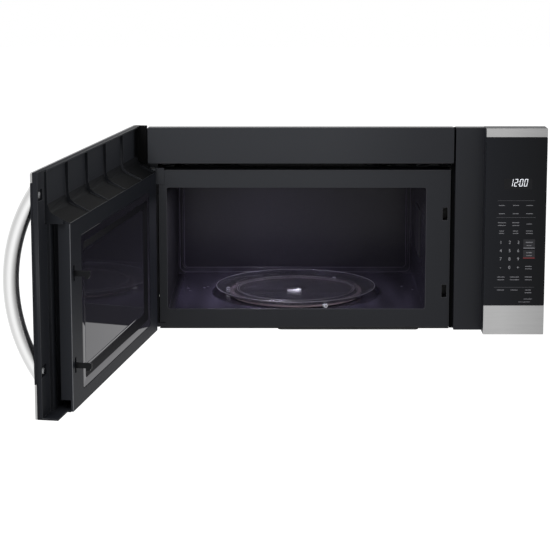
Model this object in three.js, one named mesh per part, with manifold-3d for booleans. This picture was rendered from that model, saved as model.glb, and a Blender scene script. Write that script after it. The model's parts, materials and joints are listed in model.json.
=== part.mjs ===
// Over-the-range microwave with its side-hinged door standing open.
// Millimetres, +Z up. The oven is modelled with X from its left side, Y from its front plane back to the
// wall and Z from its underside, and is then set so that the wall plate's back face is at the origin.

import * as THREE from 'three';
import { mergeVertices } from 'three/addons/utils/BufferGeometryUtils.js';
import Module from 'manifold-3d';

const wasm = await Module();
wasm.setup();

// ---- Driving dimensions ----------------------------------------------------------------------------------

const caseDepth = 385; // front plane to the rear edge of the outer case
const frontHeight = 393; // underside to the top of the front panels
const roofDrop = 49; // the roof lies this much lower than the front panels
const sheet = 1.2;
const gap = 0.3; // between pieces that rest on each other
const running = 0.08; // radial clearance of a shaft in its bore

const cavityStart = 38.5;
const cavityWidth = 498;
const openingBottom = 38.7;
const openingDrop = 34.1; // opening to the top of the face plate
const cavityFloor = 35;
const ceilingRise = 3.8; // cavity ceiling over the opening
const cavityRearGap = 10; // cavity to the back of the case
const linerThickness = 1;
const linerFlange = 12;
const backStepDepth = 3;
const backStepInset = 9;

const plateY = 12; // front face of the cavity face plate
const plateStart = 23;
const plateMargin = 46.5; // cavity to the right edge of the face plate
const plateBottom = 3.2;
const plateThickness = 2.2;
const exhaustSlotHeight = 14.2; // face plate to the top panel
const plateFlange = 48;
const baseFlangeHeight = 18;
const panelGroove = 3.6; // dark gap between the top panel and the right-hand strip
const stripWidth = 52.8;
const controlWidth = 115.4;
const controlFrameDepth = 35;
const panelWall = 2.5;
const displayInset = 30;
const displayWidth = 60;
const displayHeight = 34;
const displayDrop = 85; // below the top of the front panels

const shellStart = 23; // where the outer case begins behind the front plane
const portWidth = 254;
const portDepth = 83;
const cordRadius = 11;
const cordFromEnd = 70;
const cordFromBack = 60;
const ventDrop = 24; // cooling slots below the roof
const ventHeight = 46;

const wallPlateThickness = 2;
const wallPlateWidth = 640;
const wallPlateBottom = 30;
const wallPlateTop = 230;
const mountHeight = 130;

const doorOverTop = 3; // the door and control panel stand this much higher than the front panels
const doorProud = 39; // how far the door and control panel stand out from the front plane
const doorEndGap = 2.6; // shut door to the control panel
const glassThickness = 3.7;
const topTrimHeight = 16.4;
const bottomTrimHeight = 57;
const doorOpenAngle = 99.6;
const hingeX = 12.6;
const hingeY = 0.8;
const hingePinRadius = 3;

const railThickness = 8; // the moulded skin behind the door glass
const bodyStep = 5;
const neckInset = 15;
const chokeStart = 20;
const chokeOverlap = 7; // shut choke frame past the face plate's right edge
const chokeDrop = 2.3; // top of the choke frame to the top of the face plate
const chokeBottom = 20;
const chokeFace = 9; // inner face of the door, behind the front plane
const chokeFaceThickness = 4;
const chokeDepth = 20;
const chokeWall = 2;
const windowStart = 75;
const windowInset = 6.5; // right edge of the window from the cavity's right wall
const windowBottom = 23;
const paneThickness = 2;
const screenThickness = 0.8;

const ribCount = 5;
const ribPitch = 117;
const ribThickness = 2.5;
const ribHeight = 5;
const pocketDepth = 4;
const scoopLip = 3;
const scoopSlope = 13;
const scoopFillet = 15;
const topRailHeight = 4;
const ledgeThickness = 3;
const hingeWallThickness = 4;
const hingeWallReach = -11.5;
const endGrooveWidth = 11;

const handleFromEnd = 13; // from the door's free end
const handleScrewInset = 20.3; // from the ends of the door glass
const handleDiameter = 26;
const handleRise = 39; // tube centre line out from the door at mid height
const handleChordInset = 3.5; // where the centre line meets the door, inside each screw
const handleEndRun = 22; // how far the tube is bent past each screw, before it is cut flush
const threadDepth = 11;
const handleFootHeight = 34;
const handleFootWidth = 18;
const handleFootDepth = 16;
const screwRadius = 2.5;
const screwHeadRadius = 5;
const screwHeadHeight = 3;
const screwPocketWidth = 26;
const screwPocketHeight = 18;

const tabThickness = 3;
const tabRadius = 6.9;
const earHeight = 8;
const earRadius = 6.5;
const lowerTabLow = 8;
const bracketReach = 16;

const trayDiameter = 325;
const trayFrontGap = 13; // tray's front edge to the cavity's front
const trayHeight = 10.5;
const trayGlass = 4;
const dishDepth = 6;
const dishMargin = 8;
const rollerRadius = 4.1;
const rollerWidth = 8;
const rollerOrbit = 138;
const hoopWidth = 7;
const couplerRadius = 17;
const couplerLug = 8;
const shaftRadius = 4;
const turntableMotorRadius = 24;
const turntableMotorHeight = 18;

const latchMargin = 36.5; // cavity to the middle of the latch slots
const latchHoleWidth = 9.5;
const latchHoleHeight = 25;
const upperLatchDrop = 85.3; // from the top of the face plate
const lowerLatchZ = 74;
const hookReach = 27; // how far a hook stands out of the door's inner face
const hookThickness = 4;
const hookArmHeight = 9;
const hookTipHeight = 15;
const hookTipLength = 9;
const latchBarWidth = 10;
const latchBarDepth = 9;
const switchDepth = 16;
const plungerRadius = 2;
const plungerTravel = 2.5;

const topPanelStart = 3.9;
const topPanelHeight = 68.5;
const topPanelFlange = 3.4; // rear flange that closes the gap beside the door
const topPanelFlangeThickness = 3;

const coverWidth = 273.3;
const coverFromEnd = 62.2; // light cover's right end to the top panel's right end
const coverFront = 18;
const coverDepth = 72;
const coverDrop = 4;
const coverWall = 2;
const lampLength = 110;
const lampInset = 16;

const filterWidth = 234;
const filterDepth = 190;
const filterThickness = 8.5;
const filterFront = 120;
const filterSpacing = 294; // from one filter's left edge to the other's
const filterBars = 5;
const filterRibs = 9;
const filterBar = 4;
const filterBorder = 10;

const feedWidth = 90;
const feedHeight = 80;
const feedFromBack = 125;
const feedRise = 85;
const guideDepth = 44;
const guideWall = 1.5;
const guideAbove = 80; // waveguide above its mouth
const tubeWidth = 90;
const tubeHeight = 76;
const tubeLength = 64;
const anodeRadius = 20;

const exhaustFromLeft = 300;
const exhaustRearGap = 33;
const exhaustWheelRadius = 68;
const exhaustWheelHeight = 38;
const exhaustBlades = 24;
const scrollMargin = 14;
const motorRadius = 30;
const charcoalWidth = 240;
const charcoalFront = 70;
const charcoalDepth = 18;
const charcoalCells = 10;

const fanRadius = 50;
const fanFrame = 6;
const fanDepth = 35.7;
const fanBlades = 5;
const fanHeight = 90;

const coreWidth = 84;
const coreDepth = 52;
const coreHeight = 75;
const capacitorWidth = 52;
const capacitorDepth = 32;
const capacitorHeight = 95;
const capacitorFromEnd = 59;
const capacitorFromFilter = 100; // behind the filters' front edge

const round = 48; // sides of a large round
const fine = 24; // sides of a small round

// Where the pieces meet, from the sizes above.
const roofHeight = frontHeight - roofDrop;
const doorHeight = frontHeight + doorOverTop;
const topPanelBottom = frontHeight - topPanelHeight;
const plateTop = topPanelBottom - exhaustSlotHeight;
const openingTop = plateTop - openingDrop;
const cavityCeiling = openingTop + ceilingRise;
const chokeTop = plateTop - chokeDrop;
const windowTop = cavityCeiling;
const upperLatchZ = plateTop - upperLatchDrop;
const cavityEnd = cavityStart + cavityWidth;
const cavityMiddle = cavityStart + cavityWidth / 2;
const cavityBack = caseDepth - cavityRearGap;
const plateEnd = cavityEnd + plateMargin;
const latchHoleX = cavityEnd + latchMargin;
const chokeEnd = plateEnd + chokeOverlap;
const frameBodyEnd = chokeEnd + chokeOverlap;
const windowEnd = cavityEnd - windowInset;
const topPanelEnd = plateEnd + panelWall + linerThickness + 0.7;
const stripStart = topPanelEnd + panelGroove;
const controlStart = stripStart + stripWidth;
const caseWidth = controlStart + controlWidth;
const doorWidth = controlStart - doorEndGap;
const compartmentX = (plateEnd + caseWidth) / 2 - 11; // middle of the space for the electrical parts

// ---- Finishes --------------------------------------------------------------------------------------------

function finish(color, roughness, metalness) {
  return new THREE.MeshStandardMaterial({ color, roughness, metalness });
}

const charcoalPaint = finish(0x3a3a3d, 0.45, 0.1);
const blackPlastic = finish(0x1c1e20, 0.5, 0);
const blackGlass = finish(0x0c0c0e, 0.08, 0);
const stainless = finish(0xb4b3b0, 0.32, 0.9);
const galvanised = finish(0x9a9da0, 0.45, 0.8);
const enamel = finish(0x2b2931, 0.3, 0.1);
const clearGlass = new THREE.MeshStandardMaterial({
  color: 0xcdd2d8,
  roughness: 0.05,
  metalness: 0,
  transparent: true,
  opacity: 0.35,
});
const whitePlastic = finish(0xe8e8ea, 0.5, 0);
const copper = finish(0x9a5a36, 0.4, 0.8);
const darkMetal = finish(0x2a2b2d, 0.4, 0.7);
const boardGreen = finish(0x1f4a30, 0.6, 0);

// ---- Solids ----------------------------------------------------------------------------------------------

function solid(geometry) {
  const bare = geometry.clone();
  bare.deleteAttribute('normal');
  bare.deleteAttribute('uv');
  const merged = mergeVertices(bare, 1e-4);
  return new wasm.Manifold(
    new wasm.Mesh({
      numProp: 3,
      vertProperties: new Float32Array(merged.attributes.position.array),
      triVerts: new Uint32Array(merged.index.array),
    }),
  );
}

function geometryOf(body) {
  const mesh = body.getMesh();
  const geometry = new THREE.BufferGeometry();
  geometry.setAttribute('position', new THREE.BufferAttribute(mesh.vertProperties, 3));
  geometry.setIndex(new THREE.BufferAttribute(mesh.triVerts, 1));
  geometry.computeVertexNormals();
  return geometry;
}

// A block from its low and high corner along each axis.
function block([x0, x1], [y0, y1], [z0, z1]) {
  const geometry = new THREE.BoxGeometry(x1 - x0, y1 - y0, z1 - z0);
  geometry.translate((x0 + x1) / 2, (y0 + y1) / 2, (z0 + z1) / 2);
  return solid(geometry);
}

// A round bar between two values on an axis, its centre given by the other two coordinates in X, Y, Z order.
function bar(axis, [a, b], radius, [low, high], sides = fine) {
  const geometry = new THREE.CylinderGeometry(radius, radius, high - low, sides);
  const middle = (low + high) / 2;
  if (axis === 'x') {
    geometry.rotateZ(-Math.PI / 2);
    geometry.translate(middle, a, b);
  } else if (axis === 'y') {
    geometry.translate(a, middle, b);
  } else {
    geometry.rotateX(Math.PI / 2);
    geometry.translate(a, b, middle);
  }
  return solid(geometry);
}

function outline(points) {
  return new THREE.Shape(points.map(([a, b]) => new THREE.Vector2(a, b)));
}

function roundedOutline([x0, x1], [y0, y1], radius) {
  const shape = new THREE.Shape();
  shape.moveTo(x0 + radius, y0);
  shape.lineTo(x1 - radius, y0);
  shape.absarc(x1 - radius, y0 + radius, radius, -Math.PI / 2, 0, false);
  shape.lineTo(x1, y1 - radius);
  shape.absarc(x1 - radius, y1 - radius, radius, 0, Math.PI / 2, false);
  shape.lineTo(x0 + radius, y1);
  shape.absarc(x0 + radius, y1 - radius, radius, Math.PI / 2, Math.PI, false);
  shape.lineTo(x0, y0 + radius);
  shape.absarc(x0 + radius, y0 + radius, radius, Math.PI, Math.PI * 1.5, false);
  return shape;
}

function extruded(shape, length) {
  return new THREE.ExtrudeGeometry(shape, { depth: length, bevelEnabled: false, curveSegments: 5 });
}

// An outline in (Y, Z) drawn out along X.
function alongX(shape, [low, high]) {
  const geometry = extruded(shape, high - low);
  geometry.applyMatrix4(new THREE.Matrix4().set(0, 0, 1, low, 1, 0, 0, 0, 0, 1, 0, 0, 0, 0, 0, 1));
  return solid(geometry);
}

// An outline in (X, Z) drawn out along Y.
function alongY(shape, [low, high]) {
  const geometry = extruded(shape, high - low);
  geometry.applyMatrix4(new THREE.Matrix4().set(1, 0, 0, 0, 0, 0, -1, high, 0, 1, 0, 0, 0, 0, 0, 1));
  return solid(geometry);
}

// An outline in (X, Y) drawn out along Z.
function alongZ(shape, [low, high]) {
  const geometry = extruded(shape, high - low);
  geometry.translate(0, 0, low);
  return solid(geometry);
}

function turned(points, sides, [x, y]) {
  const geometry = new THREE.LatheGeometry(
    points.map(([r, z]) => new THREE.Vector2(r, z)),
    sides,
  );
  geometry.rotateX(Math.PI / 2);
  geometry.translate(x, y, 0);
  return solid(geometry);
}

function joined(...bodies) {
  return bodies.reduce((whole, body) => whole.add(body));
}

function cut(body, ...tools) {
  return tools.reduce((rest, tool) => rest.subtract(tool), body);
}

// Copies of a body turned about a vertical axis, evenly spaced.
function spunCopies(body, count, [x, y]) {
  const copies = [];
  for (let i = 0; i < count; i += 1) {
    copies.push(body.translate([-x, -y, 0]).rotate([0, 0, (360 / count) * i]).translate([x, y, 0]));
  }
  return joined(...copies);
}

const oven = new THREE.Group();
const door = new THREE.Group();

function piece(group, name, body, material) {
  const mesh = new THREE.Mesh(geometryOf(body), material);
  mesh.name = name;
  if (group === door) {
    mesh.position.set(-hingeX, -hingeY, 0);
  }
  group.add(mesh);
}

// ---- Outer case ------------------------------------------------------------------------------------------

const backPlateY = caseDepth + gap;
const wallPlateY = backPlateY + sheet + gap;
const wallY = wallPlateY + wallPlateThickness;
const portX = [exhaustFromLeft - portWidth / 2, exhaustFromLeft + portWidth / 2];
const portY = [cavityBack - portDepth, cavityBack];
const cordX = caseWidth - cordFromEnd;
const cordY = caseDepth - cordFromBack;

function outerCase() {
  const wrap = cut(
    block([0, caseWidth], [shellStart, caseDepth], [0, roofHeight]),
    block([sheet, caseWidth - sheet], [shellStart - 1, caseDepth + 1], [-1, roofHeight - sheet]),
  );
  const leftLip = block([0, plateStart - 2], [shellStart, shellStart + sheet], [0, roofHeight]);
  const rightLip = block([caseWidth - 16, caseWidth], [shellStart, shellStart + sheet], [0, roofHeight]);
  const vents = [];
  for (let i = 0; i < 8; i += 1) {
    const y = shellStart + 60 + i * 14;
    vents.push(block([caseWidth - 3, caseWidth + 1], [y, y + 5], [roofHeight - ventDrop - ventHeight, roofHeight - ventDrop]));
  }
  return cut(
    joined(wrap, leftLip, rightLip),
    block(portX, portY, [roofHeight - 3, roofHeight + 1]),
    bar('z', [cordX, cordY], cordRadius, [roofHeight - 3, roofHeight + 1]),
    ...vents,
  );
}

function portCover() {
  const margin = 12;
  return joined(
    block(
      [portX[0] - margin, portX[1] + margin],
      [portY[0] - margin, portY[1] + 6],
      [roofHeight + gap, roofHeight + gap + sheet],
    ),
    block(
      [portX[0] + gap, portX[1] - gap],
      [portY[0] + gap, portY[0] + gap + sheet],
      [roofHeight - sheet, roofHeight + gap + sheet],
    ),
  );
}

function cordGrommet() {
  const lip = 3;
  const neck = cordRadius - gap;
  return turned(
    [
      [cordRadius - 4, roofHeight - sheet - lip],
      [cordRadius + lip, roofHeight - sheet - lip],
      [cordRadius + lip, roofHeight - sheet - gap],
      [neck, roofHeight - sheet - gap],
      [neck, roofHeight + gap],
      [cordRadius + lip, roofHeight + gap],
      [cordRadius + lip, roofHeight + lip],
      [cordRadius - 4, roofHeight + lip],
      [cordRadius - 4, roofHeight - sheet - lip],
    ],
    fine,
    [cordX, cordY],
  );
}

const hookSlotZ = wallPlateTop - 40;
const hookSlotHeight = 26;
const hookSlotWidth = 34;
const hookPlaces = [-0.36, -0.12, 0.12, 0.36].map((share) => caseWidth / 2 + share * wallPlateWidth);

function backPlate() {
  const slots = hookPlaces.map((x) =>
    block(
      [x - hookSlotWidth / 2, x + hookSlotWidth / 2],
      [backPlateY - 1, backPlateY + sheet + 1],
      [hookSlotZ, hookSlotZ + hookSlotHeight],
    ),
  );
  return cut(block([0, caseWidth], [backPlateY, backPlateY + sheet], [0, roofHeight]), ...slots);
}

function wallPlate() {
  const left = (caseWidth - wallPlateWidth) / 2;
  const right = left + wallPlateWidth;
  const spanY = [wallPlateY, wallPlateY + wallPlateThickness];
  const plate = block([left, right], spanY, [wallPlateBottom, wallPlateTop]);
  const tongueHeight = hookSlotHeight - 10;
  const tongues = hookPlaces.map((x) =>
    joined(
      block([x - 12, x + 12], [backPlateY - 4, wallPlateY + 1], [hookSlotZ + 1, hookSlotZ + 3]),
      block([x - 12, x + 12], [backPlateY - 4, backPlateY - 2], [hookSlotZ + 1, hookSlotZ + tongueHeight]),
    ),
  );
  const windows = [0, 1, 2].map((i) => {
    const pitch = (wallPlateWidth - 40) / 3;
    const x = left + 40 + i * pitch;
    return block([x, x + pitch - 40], [spanY[0] - 1, spanY[1] + 1], [wallPlateBottom + 30, mountHeight - 14]);
  });
  const screwHoles = [left + 18, caseWidth / 2, right - 18].map((x) =>
    bar('y', [x, wallPlateTop - 12], 3.5, [spanY[0] - 1, spanY[1] + 1], 16),
  );
  return cut(joined(plate, ...tongues), ...windows, ...screwHoles);
}

const filterX = [-1, 1].map((side) => cavityMiddle + (side * filterSpacing) / 2 - filterWidth / 2);
const coverX = [topPanelEnd - coverFromEnd - coverWidth, topPanelEnd - coverFromEnd];
const lampMiddle = (coverX[0] + coverX[1]) / 2;
const lampX = [lampMiddle - lampLength / 2, lampMiddle + lampLength / 2];
const lampY = [coverFront + lampInset, coverFront + coverDepth - lampInset];

// The front edge turns up behind the face plate, which rests against it.
function basePlate() {
  const spanZ = [0, sheet];
  const seatX = [plateStart + sheet + gap, plateEnd - sheet - gap];
  const seatY = plateY + plateThickness + gap;
  const plate = joined(
    block([sheet + gap, caseWidth - sheet - gap], [shellStart + sheet + gap, caseDepth - gap], spanZ),
    block([plateStart, plateEnd], [plateY, shellStart + 6], spanZ),
    block(seatX, [seatY, seatY + sheet], [0, baseFlangeHeight]),
  );
  const openings = filterX.map((x) =>
    block(
      [x - 0.5, x + filterWidth + 0.5],
      [filterFront - 0.5, filterFront + filterDepth + 0.5],
      [-1, sheet + 1],
    ),
  );
  const ledges = filterX.map((x) =>
    joined(
      block([x + 40, x + filterWidth - 40], [filterFront - 12, filterFront - 10], [0, filterThickness + 6]),
      block(
        [x + 40, x + filterWidth - 40],
        [filterFront - 12, filterFront + 8],
        [filterThickness + 4, filterThickness + 6],
      ),
    ),
  );
  return cut(joined(plate, ...ledges), ...openings, lampOpening());
}

function lampOpening() {
  return block([lampX[0] - 6, lampX[1] + 6], [lampY[0] - 6, lampY[1] + 6], [-1, sheet + 1]);
}

function lightCover() {
  const inX = [coverX[0] + coverWall, coverX[1] - coverWall];
  const inY = [coverFront + coverWall, coverFront + coverDepth - coverWall];
  return cut(
    alongZ(roundedOutline(coverX, [coverFront, coverFront + coverDepth], 8), [-coverDrop, -gap]),
    alongZ(roundedOutline(inX, inY, 6), [-coverDrop + 1.6, 0]),
  );
}

function cooktopLamp() {
  const board = block(lampX, lampY, [sheet + gap + 1, sheet + gap + 3]);
  const feet = [lampX[0] - 12, lampX[1] - 2].map((x) =>
    block([x, x + 14], [lampY[0] + 8, lampY[1] - 8], [sheet + gap, sheet + gap + 3]),
  );
  const emitters = [];
  const pitch = (lampLength - 14) / 6;
  for (let i = 0; i < 6; i += 1) {
    const x = lampX[0] + 12 + i * pitch;
    emitters.push(block([x, x + 5], [coverFront + coverDepth / 2 - 3, coverFront + coverDepth / 2 + 3], [0.6, 3]));
  }
  return joined(board, ...feet, ...emitters);
}

function greaseFilter(x) {
  const spanZ = [0.3, filterThickness];
  const spanX = [x, x + filterWidth];
  const spanY = [filterFront, filterFront + filterDepth];
  const holes = [];
  const cellX = (filterWidth - 2 * filterBorder + filterBar) / filterRibs;
  const cellY = (filterDepth - 2 * filterBorder + filterBar) / filterBars;
  for (let i = 0; i < filterRibs; i += 1) {
    for (let j = 0; j < filterBars; j += 1) {
      const holeX = spanX[0] + filterBorder + i * cellX;
      const holeY = spanY[0] + filterBorder + j * cellY;
      holes.push(block([holeX, holeX + cellX - filterBar], [holeY, holeY + cellY - filterBar], [-1, 20]));
    }
  }
  return cut(block(spanX, spanY, spanZ), ...holes);
}

piece(oven, 'outer_case', outerCase(), charcoalPaint);
piece(oven, 'exhaust_port_cover', portCover(), galvanised);
piece(oven, 'cord_grommet', cordGrommet(), blackPlastic);
piece(oven, 'back_plate', backPlate(), galvanised);
piece(oven, 'wall_plate', wallPlate(), galvanised);
piece(oven, 'base_plate', basePlate(), charcoalPaint);
piece(oven, 'light_cover', lightCover(), blackPlastic);
piece(oven, 'cooktop_lamp', cooktopLamp(), whitePlastic);
piece(oven, 'grease_filter_left', greaseFilter(filterX[0]), galvanised);
piece(oven, 'grease_filter_right', greaseFilter(filterX[1]), galvanised);

// ---- Front panels ----------------------------------------------------------------------------------------

// A pan with its face at the front, walls on all four sides and a back above the roof.
function frontPan(body, [x0, x1], [z0, z1]) {
  const rear = shellStart - gap;
  const inX = [x0 + panelWall, x1 - panelWall];
  return cut(
    body,
    block(inX, [panelWall, rear - panelWall], [z0 + panelWall, z1 - panelWall]),
    block(inX, [panelWall, rear + 1], [z0 + panelWall, roofHeight - 8]),
  );
}

function topPanel() {
  const spanX = [topPanelStart, topPanelEnd];
  const spanZ = [topPanelBottom, frontHeight];
  const rear = shellStart - gap;
  const pan = frontPan(alongY(roundedOutline(spanX, spanZ, 2.5), [0, rear]), spanX, spanZ);
  const behind = [rear - topPanelFlangeThickness, rear];
  const ends = [
    [topPanelStart - topPanelFlange, topPanelStart + 1],
    [topPanelEnd - 1, stripStart - gap],
  ];
  return joined(pan, ...ends.map((x) => block(x, behind, [spanZ[0] + 3, spanZ[1] - 3])));
}

function facePlate() {
  const rear = plateY + plateFlange;
  const below = [plateBottom - 1, plateTop - sheet];
  const opening = alongY(
    roundedOutline([cavityStart, cavityEnd], [openingBottom, openingTop], 4),
    [plateY - 1, plateY + plateThickness + 1],
  );
  const latchHoles = [upperLatchZ, lowerLatchZ].map((z) =>
    block(
      [latchHoleX - latchHoleWidth / 2, latchHoleX + latchHoleWidth / 2],
      [plateY - 1, plateY + plateThickness + 1],
      [z - latchHoleHeight / 2, z + latchHoleHeight / 2],
    ),
  );
  return cut(
    block([plateStart, plateEnd], [plateY, rear], [plateBottom, plateTop]),
    block([plateStart + sheet, plateEnd - sheet], [plateY + plateThickness, rear + 1], below),
    block([plateStart - 1, plateEnd + 1], [shellStart + 8, rear + 1], below),
    opening,
    ...latchHoles,
  );
}

function controlHousing() {
  const spanX = [stripStart, caseWidth];
  const spanZ = [0, frontHeight];
  const strip = frontPan(block(spanX, [0, shellStart - gap], spanZ), spanX, spanZ);
  const raised = cut(
    block([controlStart, caseWidth], [-controlFrameDepth, 1], [0, doorHeight]),
    block(
      [controlStart + panelWall, caseWidth - panelWall],
      [-controlFrameDepth + panelWall, 2],
      [panelWall, doorHeight - panelWall],
    ),
  );
  const frontOpening = block(
    [controlStart + 10, caseWidth - 10],
    [-controlFrameDepth - 1, -controlFrameDepth + 4],
    [bottomTrimHeight + 10, doorHeight - topTrimHeight - 10],
  );
  const wiringHole = block([controlStart + 20, caseWidth - 20], [-1, panelWall + 1], [60, frontHeight - 60]);
  return cut(joined(strip, raised), frontOpening, wiringHole);
}

const controlSkin = [-doorProud, -controlFrameDepth - gap];
const glassZ = [bottomTrimHeight + gap / 2, doorHeight - topTrimHeight - gap / 2];
const boardX = [controlStart + 12, caseWidth - 12];
const boardY = [-controlFrameDepth + 8, -controlFrameDepth + 9.6];
const displayX = [controlStart + displayInset, controlStart + displayInset + displayWidth];
const displayZ = [frontHeight - displayDrop - displayHeight, frontHeight - displayDrop];

function controlSkinPiece([low, high]) {
  const across = roundedOutline([controlStart, caseWidth], [low, high], 1.2);
  return alongY(across, controlSkin);
}

function controlBoard() {
  const board = block(boardX, boardY, [bottomTrimHeight + 14, displayZ[1] + 20]);
  const posts = [boardX[0] + 4, boardX[1] - 4].flatMap((x) =>
    [bottomTrimHeight + 22, displayZ[1] + 12].map((z) =>
      bar('y', [x, z], 3, [boardY[0] + 1, -gap], 12),
    ),
  );
  return joined(board, ...posts);
}

function displayModule() {
  return block(displayX, [controlSkin[1] + gap, boardY[0] - gap], displayZ);
}

piece(oven, 'top_panel', topPanel(), charcoalPaint);
piece(oven, 'face_plate', facePlate(), charcoalPaint);
piece(oven, 'control_housing', controlHousing(), charcoalPaint);
piece(oven, 'control_glass', controlSkinPiece(glassZ), blackGlass);
piece(oven, 'control_trim_bottom', controlSkinPiece([0, bottomTrimHeight - gap / 2]), stainless);
piece(
  oven,
  'control_trim_top',
  controlSkinPiece([doorHeight - topTrimHeight + gap / 2, doorHeight]),
  stainless,
);
piece(oven, 'control_board', controlBoard(), boardGreen);
piece(oven, 'display_module', displayModule(), blackPlastic);

// ---- Cavity ----------------------------------------------------------------------------------------------

const cavityX = [cavityStart, cavityEnd];
const cavityFront = plateY + plateThickness + gap;
const trayX = cavityMiddle;
const trayY = cavityFront + trayFrontGap + trayDiameter / 2;
const tray = [trayX, trayY];
const dishRadius = trayDiameter / 2 + dishMargin;
const dishFloor = cavityFloor - dishDepth;
const feedY = [cavityBack - feedFromBack - feedWidth, cavityBack - feedFromBack];
const feedZ = [cavityFloor + feedRise, cavityFloor + feedRise + feedHeight];

function cavityShell() {
  const t = linerThickness;
  const outer = block(
    [cavityX[0] - t, cavityX[1] + t],
    [cavityFront, cavityBack + t],
    [cavityFloor - t, cavityCeiling + t],
  );
  const flange = block(
    [cavityX[0] - linerFlange, cavityX[1] + linerFlange],
    [cavityFront, cavityFront + t],
    [cavityFloor - linerFlange, cavityCeiling + linerFlange],
  );
  const inner = block(cavityX, [cavityFront - 1, cavityBack - backStepDepth], [cavityFloor, cavityCeiling]);
  const backPanel = alongY(
    roundedOutline(
      [cavityX[0] + backStepInset, cavityX[1] - backStepInset],
      [cavityFloor + backStepInset, cavityCeiling - backStepInset],
      12,
    ),
    [cavityBack - backStepDepth - 1, cavityBack],
  );
  const cup = bar('z', tray, dishRadius + t, [dishFloor - t, cavityFloor - t / 2], round);
  const dish = bar('z', tray, dishRadius, [dishFloor, cavityFloor + 1], round);
  const shaftHole = bar('z', tray, shaftRadius + 3, [dishFloor - 3, dishFloor + 1]);
  const feed = block([cavityX[1] - 1, cavityX[1] + t + 1], feedY, feedZ);
  const vents = [];
  for (let i = 0; i < 6; i += 1) {
    for (let j = 0; j < 4; j += 1) {
      const centre = [cavityFront + 40 + i * 11, cavityCeiling - 50 - j * 11];
      vents.push(bar('x', centre, 2.5, [cavityX[1] - 1, cavityX[1] + t + 1], 8));
    }
  }
  return cut(joined(outer, flange, cup), inner, backPanel, dish, shaftHole, feed, ...vents);
}

function waveguideCover() {
  const cover = [cavityX[1] - gap - 0.8, cavityX[1] - gap];
  return joined(
    block(cover, [feedY[0] - 8, feedY[1] + 8], [feedZ[0] - 8, feedZ[1] + 8]),
    block([cover[0], cavityX[1] + 0.6], [feedY[0] + 6, feedY[0] + 12], [feedZ[0] + gap, feedZ[0] + 5]),
  );
}

const guideX = [cavityX[1] + linerThickness + gap, cavityX[1] + linerThickness + gap + guideDepth];
const probeY = (feedY[0] + feedY[1]) / 2;
const probeZ = feedZ[1] + guideAbove / 2;
const probeRadius = 10;

function waveguide() {
  const margin = 4;
  const top = feedZ[1] + guideAbove;
  const box = block(guideX, [feedY[0] - margin, feedY[1] + margin], [feedZ[0] - margin, top]);
  const inset = margin - guideWall;
  const bore = block(
    [guideX[0] - 1, guideX[1] - guideWall],
    [feedY[0] - inset, feedY[1] + inset],
    [feedZ[0] - inset, top - guideWall],
  );
  const flange = block(
    [guideX[0], guideX[0] + guideWall],
    [feedY[0] - margin - 10, feedY[1] + margin + 10],
    [feedZ[0] - margin - 10, top],
  );
  const probe = bar('x', [probeY, probeZ], probeRadius + 2, [guideX[1] - 3, guideX[1] + 1]);
  return cut(joined(box, flange), bore, probe);
}

function magnetron() {
  const start = guideX[1] + gap;
  const end = start + tubeLength;
  const plate = 2;
  const spanY = [probeY - tubeWidth / 2, probeY + tubeWidth / 2];
  const spanZ = [probeZ - tubeHeight / 2, probeZ + tubeHeight / 2];
  const antenna = bar('x', [probeY, probeZ], probeRadius, [guideX[1] - 12, start + 1]);
  const yoke = cut(
    block([start, end], spanY, spanZ),
    block([start + plate, end - plate], [spanY[0] - 1, spanY[1] + 1], [spanZ[0] + plate, spanZ[1] - plate]),
  );
  const anode = bar('x', [probeY, probeZ], anodeRadius, [start + 1, end - 1]);
  const fins = [];
  const pitch = tubeLength / 8;
  for (let i = 1; i <= 6; i += 1) {
    const x = start + (i + 0.5) * pitch;
    fins.push(block([x, x + 1], [spanY[0] + 5, spanY[1] - 5], [spanZ[0] + 1, spanZ[1] - 1]));
  }
  const filterBox = block([end - 1, end + tubeLength * 0.4], [probeY - 30, probeY + 30], [probeZ - 25, probeZ + 25]);
  return joined(antenna, yoke, anode, ...fins, filterBox);
}

function cavityLamp() {
  const z = cavityCeiling + linerThickness;
  const x = cavityX[1] - 60;
  return joined(
    block([x - 16, x + 16], [cavityBack - 60, cavityBack - 30], [z + gap, z + gap + 2]),
    bar('z', [x, cavityBack - 45], 9, [z + gap + 1, z + 24]),
  );
}

function glassTray() {
  const radius = trayDiameter / 2;
  const under = dishFloor + gap + 2 * rollerRadius + gap;
  const top = under + trayHeight;
  const plate = turned(
    [
      [0, under],
      [radius - 16, under],
      [radius - 4, top - trayGlass],
      [radius, top - trayGlass / 2],
      [radius - 1.5, top],
      [radius - 5, top],
      [radius - 18, under + trayGlass],
      [0, under + trayGlass],
    ],
    round,
    tray,
  );
  const lug = block(
    [trayX + couplerRadius - 5, trayX + couplerRadius - 1],
    [trayY - 3, trayY + 3],
    [under - 3.5, under + 1],
  );
  return joined(plate, spunCopies(lug, 3, tray));
}

function driveCoupler() {
  const low = dishFloor + gap;
  const top = dishFloor + gap + 2 * rollerRadius;
  const hub = bar('z', tray, 8, [low, top]);
  const lobe = block(
    [trayX, trayX + couplerRadius],
    [trayY - couplerLug / 2, trayY + couplerLug / 2],
    [low, top],
  );
  const lobes = turnedAboutTray(spunCopies(lobe, 3, tray), 60);
  const sleeve = bar('z', tray, shaftRadius + 1.5, [turntableMotorTop + gap, low + 1]);
  const bore = bar('z', tray, shaftRadius - 1 + running, [turntableMotorTop, low + 3 + gap]);
  return cut(joined(hub, lobes, sleeve), bore);
}

const turntableMotorTop = dishFloor - linerThickness - gap;

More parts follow.
